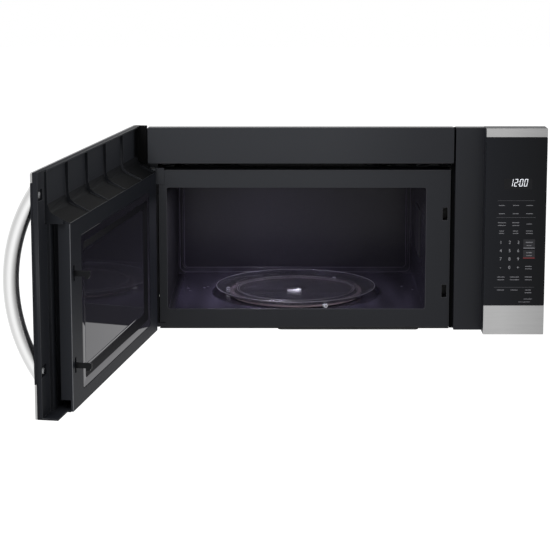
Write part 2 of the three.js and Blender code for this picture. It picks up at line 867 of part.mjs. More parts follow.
function turntableMotor() {
  return joined(
    bar('z', tray, turntableMotorRadius, [turntableMotorTop - turntableMotorHeight, turntableMotorTop - gap], 32),
    block([trayX - turntableMotorRadius - 12, trayX + turntableMotorRadius + 12], [trayY - 6, trayY + 6], [turntableMotorTop - 2, turntableMotorTop]),
    bar('z', tray, shaftRadius - 1, [turntableMotorTop - 1, dishFloor + gap + 3]),
  );
}

const rollerZ = dishFloor + gap + rollerRadius;
const rollerAngles = [-65.6, 54.4, 174.4];

function turnedAboutTray(body, angle) {
  return body.translate([-trayX, -trayY, 0]).rotate([0, 0, angle]).translate([trayX, trayY, 0]);
}
const axleRadius = 1.6;

// A hoop under the tray that holds the rollers apart, with an axle for each on its outside.
function rollerRing() {
  const low = dishFloor + 2.5;
  const high = rollerZ + 2;
  const outside = rollerOrbit - rollerWidth / 2 - gap;
  const hoop = cut(
    bar('z', tray, outside, [low, high], 72),
    bar('z', tray, outside - hoopWidth, [low - 1, high + 1], 72),
  );
  const axle = bar('x', [trayY, rollerZ], axleRadius, [
    trayX + outside - hoopWidth / 2,
    trayX + rollerOrbit + rollerWidth / 2,
  ]);
  return joined(hoop, ...rollerAngles.map((angle) => turnedAboutTray(axle, angle)));
}

function roller(angle) {
  const wheel = cut(
    bar('x', [trayY, rollerZ], rollerRadius, [
      trayX + rollerOrbit - rollerWidth / 2,
      trayX + rollerOrbit + rollerWidth / 2,
    ]),
    bar('x', [trayY, rollerZ], axleRadius + running, [
      trayX + rollerOrbit - rollerWidth,
      trayX + rollerOrbit + rollerWidth,
    ]),
  );
  return turnedAboutTray(wheel, angle);
}

piece(oven, 'cavity_shell', cavityShell(), enamel);
piece(oven, 'waveguide_cover', waveguideCover(), enamel);
piece(oven, 'waveguide', waveguide(), galvanised);
piece(oven, 'magnetron', magnetron(), galvanised);
piece(oven, 'cavity_lamp', cavityLamp(), whitePlastic);
piece(oven, 'glass_tray', glassTray(), clearGlass);
piece(oven, 'drive_coupler', driveCoupler(), whitePlastic);
piece(oven, 'turntable_motor', turntableMotor(), galvanised);
piece(oven, 'roller_ring', rollerRing(), whitePlastic);
rollerAngles.forEach((angle, i) => {
  piece(oven, `roller_${i + 1}`, roller(angle), whitePlastic);
});

// ---- Airways ---------------------------------------------------------------------------------------------

const exhaustX = exhaustFromLeft;
const scrollSide = exhaustWheelRadius + scrollMargin;
const exhaustY = caseDepth - exhaustRearGap - scrollSide;
const charcoalY = [charcoalFront, charcoalFront + charcoalDepth];
const deck = cavityCeiling + linerFlange + gap;
const exhaustTop = roofHeight - sheet - gap;

function exhaustHousing() {
  const wall = 1.5;
  const spanX = [exhaustX - scrollSide, exhaustX + scrollSide];
  const spanY = [exhaustY - scrollSide, exhaustY + scrollSide];
  const throat = [spanX[0], exhaustX + 20];
  const mouth = charcoalY[1] + 22;
  const shell = joined(
    block(spanX, spanY, [deck, exhaustTop]),
    block(throat, [mouth, spanY[0] + 1], [deck, exhaustTop]),
  );
  const chamber = joined(
    bar('z', [exhaustX, exhaustY], scrollSide - wall - 2, [deck + wall, exhaustTop - wall], round),
    block([throat[0] + wall, throat[1] - wall], [mouth - 1, exhaustY], [deck + wall, exhaustTop - wall]),
  );
  const inlet = bar('z', [exhaustX, exhaustY], exhaustWheelRadius - 22, [deck - 1, deck + 3], round);
  return cut(shell, chamber, inlet);
}

const wheelLow = deck + 4;

function exhaustWheel() {
  const centre = [exhaustX, exhaustY];
  const high = wheelLow + exhaustWheelHeight;
  const disc = bar('z', centre, exhaustWheelRadius - 1, [high - 1.5, high], round);
  const hub = cut(
    bar('z', centre, motorRadius + 4, [high - 14, high], round),
    bar('z', centre, motorRadius + gap + 0.5, [high - 15, high - 1.5], round),
  );
  const blade = block(
    [exhaustX + exhaustWheelRadius - 13, exhaustX + exhaustWheelRadius - 2],
    [exhaustY - 0.6, exhaustY + 0.6],
    [wheelLow, high - 1],
  );
  const ring = cut(
    bar('z', centre, exhaustWheelRadius, [wheelLow, wheelLow + 2], round),
    bar('z', centre, exhaustWheelRadius - 12, [wheelLow - 1, wheelLow + 3], round),
  );
  const bore = bar('z', centre, shaftRadius + running, [high - 3, high + 1]);
  return cut(joined(disc, hub, ring, spunCopies(blade, exhaustBlades, centre)), bore);
}

function exhaustMotor() {
  const centre = [exhaustX, exhaustY];
  const high = wheelLow + exhaustWheelHeight - 1.5 - gap;
  const foot = deck + 1.5 + gap;
  const strut = block(
    [exhaustX + motorRadius - 6, exhaustX + exhaustWheelRadius - 16],
    [exhaustY - 4, exhaustY + 4],
    [foot, foot + 2],
  );
  return joined(
    bar('z', centre, motorRadius, [foot, high], 32),
    bar('z', centre, shaftRadius, [high - 1, high + 4]),
    spunCopies(strut, 3, centre),
  );
}

function charcoalFilter() {
  const border = 8;
  const spanX = [exhaustX - charcoalWidth / 2, exhaustX + charcoalWidth / 2];
  const cells = [];
  const pitch = (charcoalWidth - 2 * border) / charcoalCells;
  const recess = charcoalDepth / 4;
  for (let i = 0; i < charcoalCells; i += 1) {
    const cellX = [spanX[0] + border + 2 + i * pitch, spanX[0] + border - 2 + (i + 1) * pitch];
    const cellZ = [deck + border, exhaustTop - border];
    cells.push(block(cellX, [charcoalY[0] - 1, charcoalY[0] + recess], cellZ));
    cells.push(block(cellX, [charcoalY[1] - recess, charcoalY[1] + 1], cellZ));
  }
  return cut(block(spanX, charcoalY, [deck, exhaustTop]), ...cells);
}

const fanX = compartmentX;
const fanZ = fanHeight;
const fanFrontY = caseDepth - gap - fanDepth;

function coolingFanHousing() {
  const side = fanRadius + fanFrame;
  const ringY = [fanFrontY, caseDepth - gap];
  const frame = cut(
    block([fanX - side, fanX + side], ringY, [fanZ - side, fanZ + side]),
    bar('y', [fanX, fanZ], fanRadius + 2, [ringY[0] - 1, ringY[1] + 1], round),
  );
  const arms = joined(
    block([fanX - fanRadius - 3, fanX + fanRadius + 3], [ringY[1] - 3, ringY[1]], [fanZ - 4, fanZ + 4]),
    block([fanX - 4, fanX + 4], [ringY[1] - 3, ringY[1]], [fanZ - fanRadius - 3, fanZ + fanRadius + 3]),
  );
  const foot = block([fanX - side, fanX + side], ringY, [sheet + gap, fanZ - side + 1]);
  const hollow = block([fanX - side + 3, fanX + side - 3], [ringY[0] - 1, ringY[1] + 1], [sheet + 3, fanZ - side - 2]);
  return joined(frame, arms, cut(foot, hollow));
}

function coolingFanMotor() {
  const high = caseDepth - gap - 3 - gap;
  return joined(
    bar('y', [fanX, fanZ], 17, [high - 12, high]),
    bar('y', [fanX, fanZ], 3, [fanFrontY + 2, high - 11]),
  );
}

function coolingFanWheel() {
  const span = [fanFrontY + 4, fanFrontY + 17];
  const hub = cut(
    bar('y', [fanX, fanZ], 15, span),
    bar('y', [fanX, fanZ], 3 + running, [span[0] - 1, span[1] + 1]),
  );
  const blades = [];
  for (let i = 0; i < fanBlades; i += 1) {
    const blade = block([12, fanRadius - 1], [-1, 1], [-13, 13])
      .rotate([32, 0, 0])
      .rotate([0, (360 / fanBlades) * i, 0])
      .translate([fanX, (span[0] + span[1]) / 2, fanZ]);
    blades.push(blade);
  }
  const trimmed = joined(...blades).intersect(
    cut(bar('y', [fanX, fanZ], fanRadius, span, round), bar('y', [fanX, fanZ], 10, [span[0] - 1, span[1] + 1])),
  );
  return joined(hub, trimmed);
}

piece(oven, 'exhaust_housing', exhaustHousing(), galvanised);
piece(oven, 'exhaust_wheel', exhaustWheel(), blackPlastic);
piece(oven, 'exhaust_motor', exhaustMotor(), darkMetal);
piece(oven, 'charcoal_filter', charcoalFilter(), blackPlastic);
piece(oven, 'cooling_fan_housing', coolingFanHousing(), blackPlastic);
piece(oven, 'cooling_fan_motor', coolingFanMotor(), darkMetal);
piece(oven, 'cooling_fan_wheel', coolingFanWheel(), whitePlastic);

// ---- High-voltage parts ----------------------------------------------------------------------------------

function transformer() {
  const x = compartmentX;
  const y = filterFront;
  const low = sheet + gap;
  const spanY = [y - coreDepth / 2, y + coreDepth / 2];
  const core = block([x - coreWidth / 2, x + coreWidth / 2], spanY, [low + 3, low + 3 + coreHeight]);
  const foot = block([x - coreWidth / 2 - 8, x + coreWidth / 2 + 8], [spanY[0] - 4, spanY[1] + 4], [low, low + 3.5]);
  const half = coreWidth * 0.31;
  const windings = block([x - half, x + half], [spanY[0] - 18, spanY[1] + 18], [low + 18, low + coreHeight - 13]);
  const slots = [-half - 1, half - 4].map((shift) =>
    block([x + shift, x + shift + 5], [spanY[0] - 1, spanY[1] + 1], [low + 14, low + coreHeight - 9]),
  );
  return joined(foot, cut(core, ...slots), windings);
}

function capacitor() {
  const x = caseWidth - capacitorFromEnd;
  const y = filterFront + capacitorFromFilter;
  const low = sheet + gap;
  const top = low + capacitorHeight;
  const spanX = [x - capacitorWidth / 2, x + capacitorWidth / 2];
  const spanY = [y - capacitorDepth / 2, y + capacitorDepth / 2];
  const can = alongZ(roundedOutline(spanX, spanY, capacitorDepth / 2 - 1), [low, top]);
  const tabs = [-12, 12].map((shift) => block([x + shift - 3, x + shift + 3], [y - 0.5, y + 0.5], [top - 1, top + 11]));
  return joined(can, ...tabs);
}

piece(oven, 'transformer', transformer(), copper);
piece(oven, 'capacitor', capacitor(), galvanised);

// ---- Door latch, cabinet side ----------------------------------------------------------------------------

const hookTipY = chokeFace + hookReach;
const boardSpanZ = [lowerLatchZ - latchHoleHeight, upperLatchZ + latchHoleHeight];
const boardSpanX = [latchHoleX - latchHoleWidth / 2 - 5, latchHoleX + latchHoleWidth / 2 + 4];
const switchFront = hookTipY + 4;

function latchBoard() {
  const body = block(boardSpanX, [cavityFront, switchFront + switchDepth + 4], boardSpanZ);
  const pockets = [upperLatchZ, lowerLatchZ].map((z) =>
    block(
      [latchHoleX - latchHoleWidth / 2, boardSpanX[1] + 1],
      [cavityFront - 1, switchFront + switchDepth + 5],
      [z - latchHoleHeight / 2, z + latchHoleHeight / 2],
    ),
  );
  const middle = block(
    [latchHoleX - latchHoleWidth / 2, boardSpanX[1] + 1],
    [cavityFront + 6, switchFront + switchDepth + 5],
    [lowerLatchZ + latchHoleHeight, upperLatchZ - latchHoleHeight],
  );
  return cut(body, ...pockets, middle);
}

function doorSwitch(z) {
  const body = block(
    [latchHoleX - latchHoleWidth / 2 + gap, boardSpanX[1] + 3],
    [switchFront, switchFront + switchDepth],
    [z - latchHoleHeight / 2 + gap, z + latchHoleHeight / 2 - gap],
  );
  const bore = bar('y', [latchHoleX, z], plungerRadius + gap, [switchFront - 1, switchFront + 7], 16);
  return cut(body, bore);
}

function switchPlunger(z) {
  return bar('y', [latchHoleX, z], plungerRadius, [hookTipY + 0.5, switchFront + 7 - plungerTravel - gap], 16);
}

piece(oven, 'latch_board', latchBoard(), whitePlastic);
piece(oven, 'door_switch_upper', doorSwitch(upperLatchZ), blackPlastic);
piece(oven, 'door_switch_lower', doorSwitch(lowerLatchZ), blackPlastic);
piece(oven, 'switch_plunger_upper', switchPlunger(upperLatchZ), whitePlastic);
piece(oven, 'switch_plunger_lower', switchPlunger(lowerLatchZ), whitePlastic);

// ---- Hinges ----------------------------------------------------------------------------------------------

const upperTabLow = chokeTop + scoopLip + 0.6;
const reliefTop = upperTabLow + tabThickness + gap + 1.6 + 1;
const upperEar = [chokeTop - 1 - earHeight, chokeTop - 1];
const lowerEar = [lowerTabLow + tabThickness + gap, lowerTabLow + tabThickness + gap + earHeight];

// A tab that carries the pin, on a foot that lies flat on the face plate. reach is the foot's other end.
function hingeBracket(tabLow, reach) {
  const foot = [chokeFace + 0.6, plateY - gap];
  const span = [Math.min(tabLow, reach), Math.max(tabLow + tabThickness, reach)];
  const tab = joined(
    bar('z', [hingeX, hingeY], tabRadius, [tabLow, tabLow + tabThickness]),
    block([hingeX - tabRadius, hingeX + tabRadius], [hingeY, foot[1]], [tabLow, tabLow + tabThickness]),
  );
  const flat = block([hingeX - tabRadius, plateStart + 11], foot, span);
  const pinHole = bar('z', [hingeX, hingeY], hingePinRadius + running, [tabLow - 1, tabLow + tabThickness + 1]);
  return cut(joined(tab, flat), pinHole);
}

function hingePin(low, high) {
  const head = bar('z', [hingeX, hingeY], hingePinRadius + 2, [high, high + 1.6]);
  return joined(bar('z', [hingeX, hingeY], hingePinRadius, [low, high + 0.5]), head);
}

piece(oven, 'hinge_bracket_upper', hingeBracket(upperTabLow, upperEar[0] - bracketReach), galvanised);
piece(oven, 'hinge_bracket_lower', hingeBracket(lowerTabLow, ledgeThickness + 0.6), galvanised);
piece(oven, 'hinge_pin_upper', hingePin(upperEar[0] - 1, upperTabLow + tabThickness + gap), darkMetal);

// The lower pin stands up through the tab into the door, with its head under the tab.
function lowerPin() {
  const head = bar('z', [hingeX, hingeY], hingePinRadius + 2, [lowerTabLow - gap - 1.6, lowerTabLow - gap]);
  return joined(bar('z', [hingeX, hingeY], hingePinRadius, [lowerTabLow - gap - 1, lowerEar[1] + 1]), head);
}

piece(oven, 'hinge_pin_lower', lowerPin(), darkMetal);

// ---- Door ------------------------------------------------------------------------------------------------
// The door is drawn shut, then turned open about its hinge.

const skinY = [-doorProud, -doorProud + glassThickness];
const railY = [skinY[1] + gap, skinY[1] + gap + railThickness];
const railFace = railY[1];
const bodyFace = railFace + bodyStep;
const chokeBack = chokeFace - chokeDepth;
const neckY = [bodyFace, chokeBack - gap];
const windowMargin = 15;
const frameWindow = [
  [windowStart - windowMargin, windowEnd + windowMargin],
  [windowBottom, windowTop + windowMargin - 5],
];
const handlePosition = doorWidth - handleFromEnd;
const screwZ = [glassZ[0] + handleScrewInset, glassZ[1] - handleScrewInset];
const handleCentre = (screwZ[0] + screwZ[1]) / 2;
const skinHoleRadius = screwRadius + gap;

function screwHoles([low, high], radius) {
  return screwZ.map((z) => bar('y', [handlePosition, z], radius, [low - 1, high + 1], 16));
}

function doorGlass() {
  const pane = block([0, doorWidth], skinY, glassZ);
  return cut(pane, ...screwHoles(skinY, skinHoleRadius));
}

function doorTrim([low, high]) {
  return alongY(roundedOutline([0, doorWidth], [low, high], 1.2), skinY);
}

// The rib line: down the back of the scoop, round a fillet and out along the ramp to the inner face.
function scoopOutline(back, drop, rampStart) {
  const lipZ = chokeTop + scoopLip - drop;
  const rampEnd = chokeFace;
  const bottomY = back + scoopFillet * 0.6;
  const points = [[rampEnd, lipZ]];
  points.push([bottomY, lipZ + scoopSlope]);
  points.push([back + scoopFillet * 0.22, lipZ + scoopSlope + scoopFillet * 0.32]);
  points.push([back, lipZ + scoopSlope + scoopFillet]);
  points.push([back, rampStart]);
  return points;
}

function scoopBlock() {
  const base = chokeTop + gap;
  const points = [[railY[0] + 1, doorHeight - 1], [railY[0] + 1, base], [chokeFace, base]];
  points.push(...scoopOutline(railFace + 1.5, 0, doorHeight - 1).slice(0));
  return alongX(outline(points), [hingeWallThickness, frameBodyEnd]);
}

function scoopPockets() {
  const pocketBack = railFace - pocketDepth;
  const points = scoopOutline(pocketBack, ribHeight * 0.4, doorHeight - topRailHeight);
  points[0] = [chokeFace + 1, points[0][1] - 0.3];
  points.push([chokeFace + 1, doorHeight - topRailHeight]);
  const shape = outline(points);
  const ribs = [];
  for (let i = 0; i < ribCount; i += 1) {
    ribs.push(frameBodyEnd - ribThickness / 2 - i * ribPitch);
  }
  const ends = [...ribs, hingeWallThickness + 0.5 - ribThickness / 2];
  const boss = block([0, 2 * hingeX + 6], [bodyFace, chokeFace + 2], [chokeTop, reliefTop + 5]);
  return ribs.map((rib, i) =>
    cut(alongX(shape, [ends[i + 1] + ribThickness / 2, rib - ribThickness / 2]), boss),
  );
}

// Room for the upper bracket to swing through in the corner of the door.
function hingeRelief() {
  return bar('z', [hingeX, hingeY], Math.hypot(tabRadius, plateY - hingeY) + 0.5, [chokeTop, reliefTop], round);
}

function frameWindowCut(low, high) {
  return block(frameWindow[0], [low, high], frameWindow[1]);
}

function doorFrame() {
  const skin = block([0, doorWidth], railY, [0, doorHeight]);
  const body = block([hingeWallThickness, frameBodyEnd], [railFace - 1, bodyFace], [1, chokeTop + 4]);
  const neck = block(
    [chokeStart + neckInset / 2, chokeEnd - neckInset],
    [bodyFace - 1, neckY[1]],
    [chokeBottom - 6, chokeTop + 1],
  );
  const ledge = joined(
    block([0, doorWidth], [railY[0], -1], [0, ledgeThickness]),
    block([chokeStart, chokeEnd], [-2, chokeFace - chokeFaceThickness - gap], [0, ledgeThickness]),
  );
  const hingeWall = block([0, hingeWallThickness + 1], [railFace - 1, hingeWallReach], [0, doorHeight]);
  const groove = block([frameBodyEnd, frameBodyEnd + endGrooveWidth], [railFace - 3, railFace + 1], [chokeTop, doorHeight - topRailHeight]);
  const pockets = screwZ.map((z) =>
    block(
      [handlePosition - screwPocketWidth / 2, handlePosition + screwPocketWidth / 2 - 2],
      [railFace - screwHeadHeight - 1.5, railFace + 1],
      [z - screwPocketHeight / 2, z + screwPocketHeight / 2],
    ),
  );
  // Clear of the strip beside the controls when the door is shut.
  const endRelief = block(
    [stripStart - 1.5, frameBodyEnd + 1],
    [-1, chokeFace + 1],
    [chokeTop - 1, chokeTop + scoopLip + scoopSlope],
  );
  const whole = joined(skin, body, neck, ledge, scoopBlock(), hingeWall);
  return cut(
    whole,
    endRelief,
    ...scoopPockets(),
    frameWindowCut(railY[0] - 1, neckY[1] + 1),
    groove,
    hingeRelief(),
    ...pockets,
    ...screwHoles(railY, skinHoleRadius),
  );
}

const hookX = [latchHoleX - hookThickness / 2, latchHoleX + hookThickness / 2];
const faceY = [chokeFace - chokeFaceThickness, chokeFace];

function hookSlots() {
  const tall = latchHoleHeight + 1;
  return [upperLatchZ, lowerLatchZ].map((z) =>
    block([hookX[0] - 1.5, hookX[1] + 1.5], [faceY[0] - 1, faceY[1] + 1], [z - tall / 2, z + tall / 2]),
  );
}

function chokeFrame() {
  const face = block([chokeStart, chokeEnd], faceY, [1, chokeTop]);
  const ring = cut(
    block([chokeStart, chokeEnd], [chokeBack, faceY[1]], [chokeBottom, chokeTop]),
    block(
      [chokeStart + chokeWall, chokeEnd - chokeWall],
      [chokeBack - 1, faceY[0]],
      [chokeBottom + chokeWall, chokeTop - chokeWall],
    ),
  );
  const windowLowWall = chokeBottom + chokeWall - 1;
  const inner = cut(
    block(
      [windowStart - 6, windowEnd + 6],
      [chokeBack, faceY[0] + 1],
      [windowLowWall, windowTop + 6],
    ),
    block(
      [windowStart - 4, windowEnd + 4],
      [chokeBack - 1, faceY[0]],
      [windowLowWall + 2, windowTop + 4],
    ),
  );
  const ears = [upperEar, lowerEar].map(([low, high]) =>
    cut(
      joined(
        bar('z', [hingeX, hingeY], earRadius, [low, high]),
        block([hingeX, chokeStart + 1], [hingeY - 5, hingeY + 5], [low, high]),
      ),
      bar('z', [hingeX, hingeY], hingePinRadius + running, [low - 1, high + 1]),
    ),
  );
  const window = alongY(
    roundedOutline([windowStart, windowEnd], [windowBottom, windowTop], 5),
    [chokeBack - 2, chokeFace + 1],
  );
  return cut(joined(face, ring, inner, ...ears), window, ...hookSlots());
}

const paneY = [faceY[0] - gap - paneThickness, faceY[0] - gap];

function innerWindow() {
  const clear = 4 - gap;
  return block(
    [windowStart - clear, windowEnd + clear],
    paneY,
    [chokeBottom + chokeWall + 1 + gap, windowTop + clear],
  );
}

function windowScreen() {
  const back = [chokeBack - gap - screenThickness, chokeBack - gap];
  return block(
    [frameWindow[0][0] + gap, frameWindow[0][1] - gap],
    back,
    [frameWindow[1][0] + gap, frameWindow[1][1] - gap],
  );
}

function handle() {
  const chord = (screwZ[1] - screwZ[0]) / 2 - handleChordInset;
  const handleRadius = (chord ** 2 + handleRise ** 2) / (2 * handleRise);
  const centreY = -doorProud - handleRise + handleRadius;
  const half = (screwZ[1] - screwZ[0]) / 2 + handleEndRun;
  const sweep = Math.asin(half / handleRadius);
  const steps = 36;
  const path = new THREE.CatmullRomCurve3(
    Array.from({ length: steps + 1 }, (_, i) => {
      const angle = -sweep + (2 * sweep * i) / steps;
      return new THREE.Vector3(
        handlePosition,
        centreY - handleRadius * Math.cos(angle),
        handleCentre + handleRadius * Math.sin(angle),
      );
    }),
  );
  const section = new THREE.Shape();
  section.absarc(0, 0, handleDiameter / 2, 0, Math.PI * 2, false);
  const tube = new THREE.ExtrudeGeometry(section, { steps, extrudePath: path, curveSegments: 12 });
  const outside = block(
    [handlePosition - handleDiameter, handlePosition + handleDiameter],
    [-doorProud - handleRise - handleDiameter, -doorProud - gap],
    [0, doorHeight],
  );
  const feet = screwZ.map((z) => {
    const inward = z > handleCentre ? -1 : 1;
    const far = z + inward * handleFootHeight;
    return block(
      [handlePosition - handleFootWidth / 2, handlePosition + handleFootWidth / 2],
      [-doorProud - handleFootDepth, -doorProud - gap],
      [Math.min(z, far), Math.max(z, far)],
    );
  });
  const threads = screwZ.map((z) => bar('y', [handlePosition, z], screwRadius + gap, [-doorProud - threadDepth - 1, 0], 16));
  return cut(joined(solid(tube).intersect(outside), ...feet), ...threads);
}

function handleScrew(z) {
  const seat = railFace - screwHeadHeight - 1.5 + gap;
  return joined(
    bar('y', [handlePosition, z], screwHeadRadius, [seat, seat + screwHeadHeight]),
    bar('y', [handlePosition, z], screwRadius, [-doorProud - threadDepth, seat + 1], 16),
  );
}

const latchBarY = [faceY[0] - latchBarDepth, faceY[0] - gap];

function latchHook(z) {
  const arm = block(hookX, [latchBarY[1] - 1, hookTipY], [z - hookArmHeight / 2, z + hookArmHeight / 2]);
  const tip = alongX(
    outline([
      [hookTipY - hookTipLength, z - hookTipHeight / 2 - 1],
      [hookTipY - 3, z - hookTipHeight / 2 - 1],
      [hookTipY, z - 1],
      [hookTipY, z + hookArmHeight / 2],
      [hookTipY - hookTipLength, z + hookArmHeight / 2],
    ]),
    hookX,
  );
  return joined(arm, tip);
}

const latchBarTop = upperLatchZ + 18;

function latchBar() {
  const bodyBar = block([latchHoleX - latchBarWidth / 2, latchHoleX + latchBarWidth / 2], latchBarY, [lowerLatchZ - 16, latchBarTop]);
  return joined(bodyBar, latchHook(upperLatchZ), latchHook(lowerLatchZ));
}

// The spring that holds the latch bar down, between the bar and the top wall of the choke frame.
function latchSpring() {
  const low = latchBarTop + gap;
  const high = chokeTop - chokeWall - gap;
  const turns = 7;
  const coilRadius = 2.6;
  const wire = 0.6;
  const y = (latchBarY[0] + latchBarY[1]) / 2;
  const points = [];
  const count = turns * 8;
  for (let i = 0; i <= count; i += 1) {
    const angle = (i / 8) * 2 * Math.PI;
    const rise = (low + wire) + ((high - low - 2 * wire) * i) / count;
    points.push(new THREE.Vector3(latchHoleX + coilRadius * Math.cos(angle), y + coilRadius * Math.sin(angle), rise));
  }
  const section = new THREE.Shape();
  section.absarc(0, 0, wire, 0, Math.PI * 2, false);
  const tube = new THREE.ExtrudeGeometry(section, {
    steps: count,
    extrudePath: new THREE.CatmullRomCurve3(points),
    curveSegments: 3,
  });
  return solid(tube);
}

piece(door, 'door_glass', doorGlass(), blackGlass);
piece(door, 'door_trim_bottom', doorTrim([0, bottomTrimHeight - gap / 2]), stainless);
piece(door, 'door_trim_top', doorTrim([doorHeight - topTrimHeight + gap / 2, doorHeight]), stainless);
piece(door, 'door_frame', doorFrame(), blackPlastic);
piece(door, 'choke_frame', chokeFrame(), charcoalPaint);
piece(door, 'window_screen', windowScreen(), darkMetal);
piece(door, 'inner_window', innerWindow(), blackGlass);
piece(door, 'handle', handle(), stainless);
piece(door, 'handle_screw_lower', handleScrew(screwZ[0]), galvanised);
piece(door, 'handle_screw_upper', handleScrew(screwZ[1]), galvanised);
piece(door, 'latch_bar', latchBar(), blackPlastic);
piece(door, 'latch_spring', latchSpring(), galvanised);

door.position.set(hingeX, hingeY, 0);
door.rotation.z = -THREE.MathUtils.degToRad(doorOpenAngle);
oven.add(door);

oven.position.set(-caseWidth / 2, -wallY, -mountHeight);

export default oven;
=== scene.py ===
# The looks of an over-the-range microwave that hangs open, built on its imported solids.
# Sections follow the oven as it is put together. Sizes are in millimetres until they reach a mesh.

import json
import math
import random

import bmesh
import bpy
from mathutils import Matrix, Vector


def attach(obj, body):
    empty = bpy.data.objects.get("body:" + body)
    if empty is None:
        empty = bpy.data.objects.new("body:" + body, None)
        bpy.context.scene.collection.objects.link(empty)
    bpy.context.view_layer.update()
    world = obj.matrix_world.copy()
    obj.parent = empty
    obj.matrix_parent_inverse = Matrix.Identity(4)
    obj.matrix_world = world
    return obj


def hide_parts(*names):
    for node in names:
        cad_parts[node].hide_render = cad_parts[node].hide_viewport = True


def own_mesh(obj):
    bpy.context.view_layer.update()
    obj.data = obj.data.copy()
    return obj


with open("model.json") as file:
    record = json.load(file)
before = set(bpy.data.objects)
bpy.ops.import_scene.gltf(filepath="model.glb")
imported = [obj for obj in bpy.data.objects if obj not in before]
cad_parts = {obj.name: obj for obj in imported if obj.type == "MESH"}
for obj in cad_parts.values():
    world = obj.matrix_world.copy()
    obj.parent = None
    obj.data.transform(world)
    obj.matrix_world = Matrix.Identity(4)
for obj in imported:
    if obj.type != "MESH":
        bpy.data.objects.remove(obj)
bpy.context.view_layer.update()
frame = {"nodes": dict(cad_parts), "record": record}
facts = frame["record"]
body_of = {node: body for body, nodes in facts["behaviour"]["bodies"].items() for node in nodes}


# ---- Studio ----------------------------------------------------------------------------------------------
# A white room with a pale floor well under the hanging oven, one broad lamp above the front left, a weaker
# one on the right, and a view from in front, a little left of the middle and above.

ROW = Vector((379.5, 388.8, 130.0))


def at(x, y, z):
    """A place on the oven, from its left side, its front plane and its underside, in row metres."""
    return (Vector((x, y, z)) - ROW) / 1000


class Wire:
    """A socket that varies over a surface. Sums on it add Math nodes."""

    def __init__(self, tree, socket):
        self.tree, self.socket = tree, socket

    def sum(self, operation, *terms):
        node = self.tree.nodes.new("ShaderNodeMath")
        node.operation = operation
        for slot, term in zip(node.inputs, terms):
            if isinstance(term, Wire):
                self.tree.links.new(term.socket, slot)
            else:
                slot.default_value = term
        return Wire(self.tree, node.outputs[0])

    def __add__(self, other):
        return self.sum("ADD", self, other)

    def __sub__(self, other):
        return self.sum("SUBTRACT", self, other)

    def __rsub__(self, other):
        return self.sum("SUBTRACT", other, self)

    def __mul__(self, other):
        return self.sum("MULTIPLY", self, other)

    def __truediv__(self, other):
        return self.sum("DIVIDE", self, other)

    __radd__ = __add__
    __rmul__ = __mul__

    def over(self, limit):
        return self.sum("GREATER_THAN", self, limit)

    def at_least(self, other):
        return self.sum("MAXIMUM", self, other)

    def at_most(self, other):
        return self.sum("MINIMUM", self, other)


class Surface:
    """A node tree under construction."""

    def __init__(self, tree):
        self.tree = tree
        tree.nodes.clear()

    def node(self, kind, settings=None, sockets=None, out=0):
        """Adds a node. Its sockets go by name or by number, and take a wire or a plain value."""
        made = self.tree.nodes.new("ShaderNode" + kind)
        for name, value in (settings or {}).items():
            if name == "stops":
                ramp = made.color_ramp
                while len(ramp.elements) < len(value):
                    ramp.elements.new(0.5)
                for element, (place, colour) in zip(ramp.elements, value):
                    element.position, element.color = place, (*colour, 1)
            else:
                setattr(made, name, value)
        for name, value in (sockets or {}).items():
            socket = made.inputs[name]
            if isinstance(value, Wire):
                self.tree.links.new(value.socket, socket)
            elif socket.type == "RGBA":
                socket.default_value = (*value, 1)
            else:
                socket.default_value = value
        return Wire(self.tree, made.outputs[out]) if len(made.outputs) else None

    def spot(self):
        return self.node("TexCoord", out="Object")

    def measured(self, axis):
        """The place on the oven along one axis, in millimetres from where that axis starts."""
        row = self.node("SeparateXYZ", {}, {"Vector": self.spot()}, out=axis)
        return row * 1000 + ROW["XYZ".index(axis)]

    def rise(self, value, low, high, smooth=False):
        """0 up to low and 1 from high on. High may be the smaller of the two."""
        settings = {"interpolation_type": "SMOOTHSTEP"} if smooth else {}
        return self.node("MapRange", settings, {"Value": value, "From Min": low, "From Max": high})

    def place(self, stretch=(1, 1, 1)):
        return self.node("Mapping", {}, {"Vector": self.spot(), "Scale": stretch})

    def noise(self, scale, detail=2.0, stretch=(1, 1, 1), rough=0.5):
        sockets = {"Vector": self.place(stretch), "Scale": scale, "Detail": detail, "Roughness": rough}
        return self.node("TexNoise", {}, sockets)

    def cells(self, scale, out=0):
        return self.node("TexVoronoi", {"feature": "F1"}, {"Vector": self.place(), "Scale": scale}, out)

    def bands(self, direction, scale, waver):
        settings = {"wave_type": "BANDS", "bands_direction": direction}
        return self.node("TexWave", settings, {"Vector": self.place(), "Scale": scale, "Distortion": waver})

    def blend(self, amount, first, second):
        """A colour between two colours."""
        return self.node("Mix", {"data_type": "RGBA"}, {0: amount, 6: first, 7: second}, out=2)

    def bumped(self, height, depth):
        return self.node("Bump", {}, {"Height": height, "Distance": depth})

    def light_path(self, *rays):
        """1 for any of the named kinds of ray."""
        total = self.node("LightPath", out=rays[0])
        for ray in rays[1:]:
            total = total + self.node("LightPath", out=ray)
        return total.at_most(1.0)


def finish(name, make):
    """A material whose make(surface) returns the sockets of its Principled shader."""
    material = bpy.data.materials.new(name)
    material.use_nodes = True
    surface = Surface(material.node_tree)
    shader = surface.node("BsdfPrincipled", {}, make(surface))
    surface.node("OutputMaterial", {}, {"Surface": shader})
    return material


scene = bpy.context.scene
scene.view_settings.view_transform = "Standard"

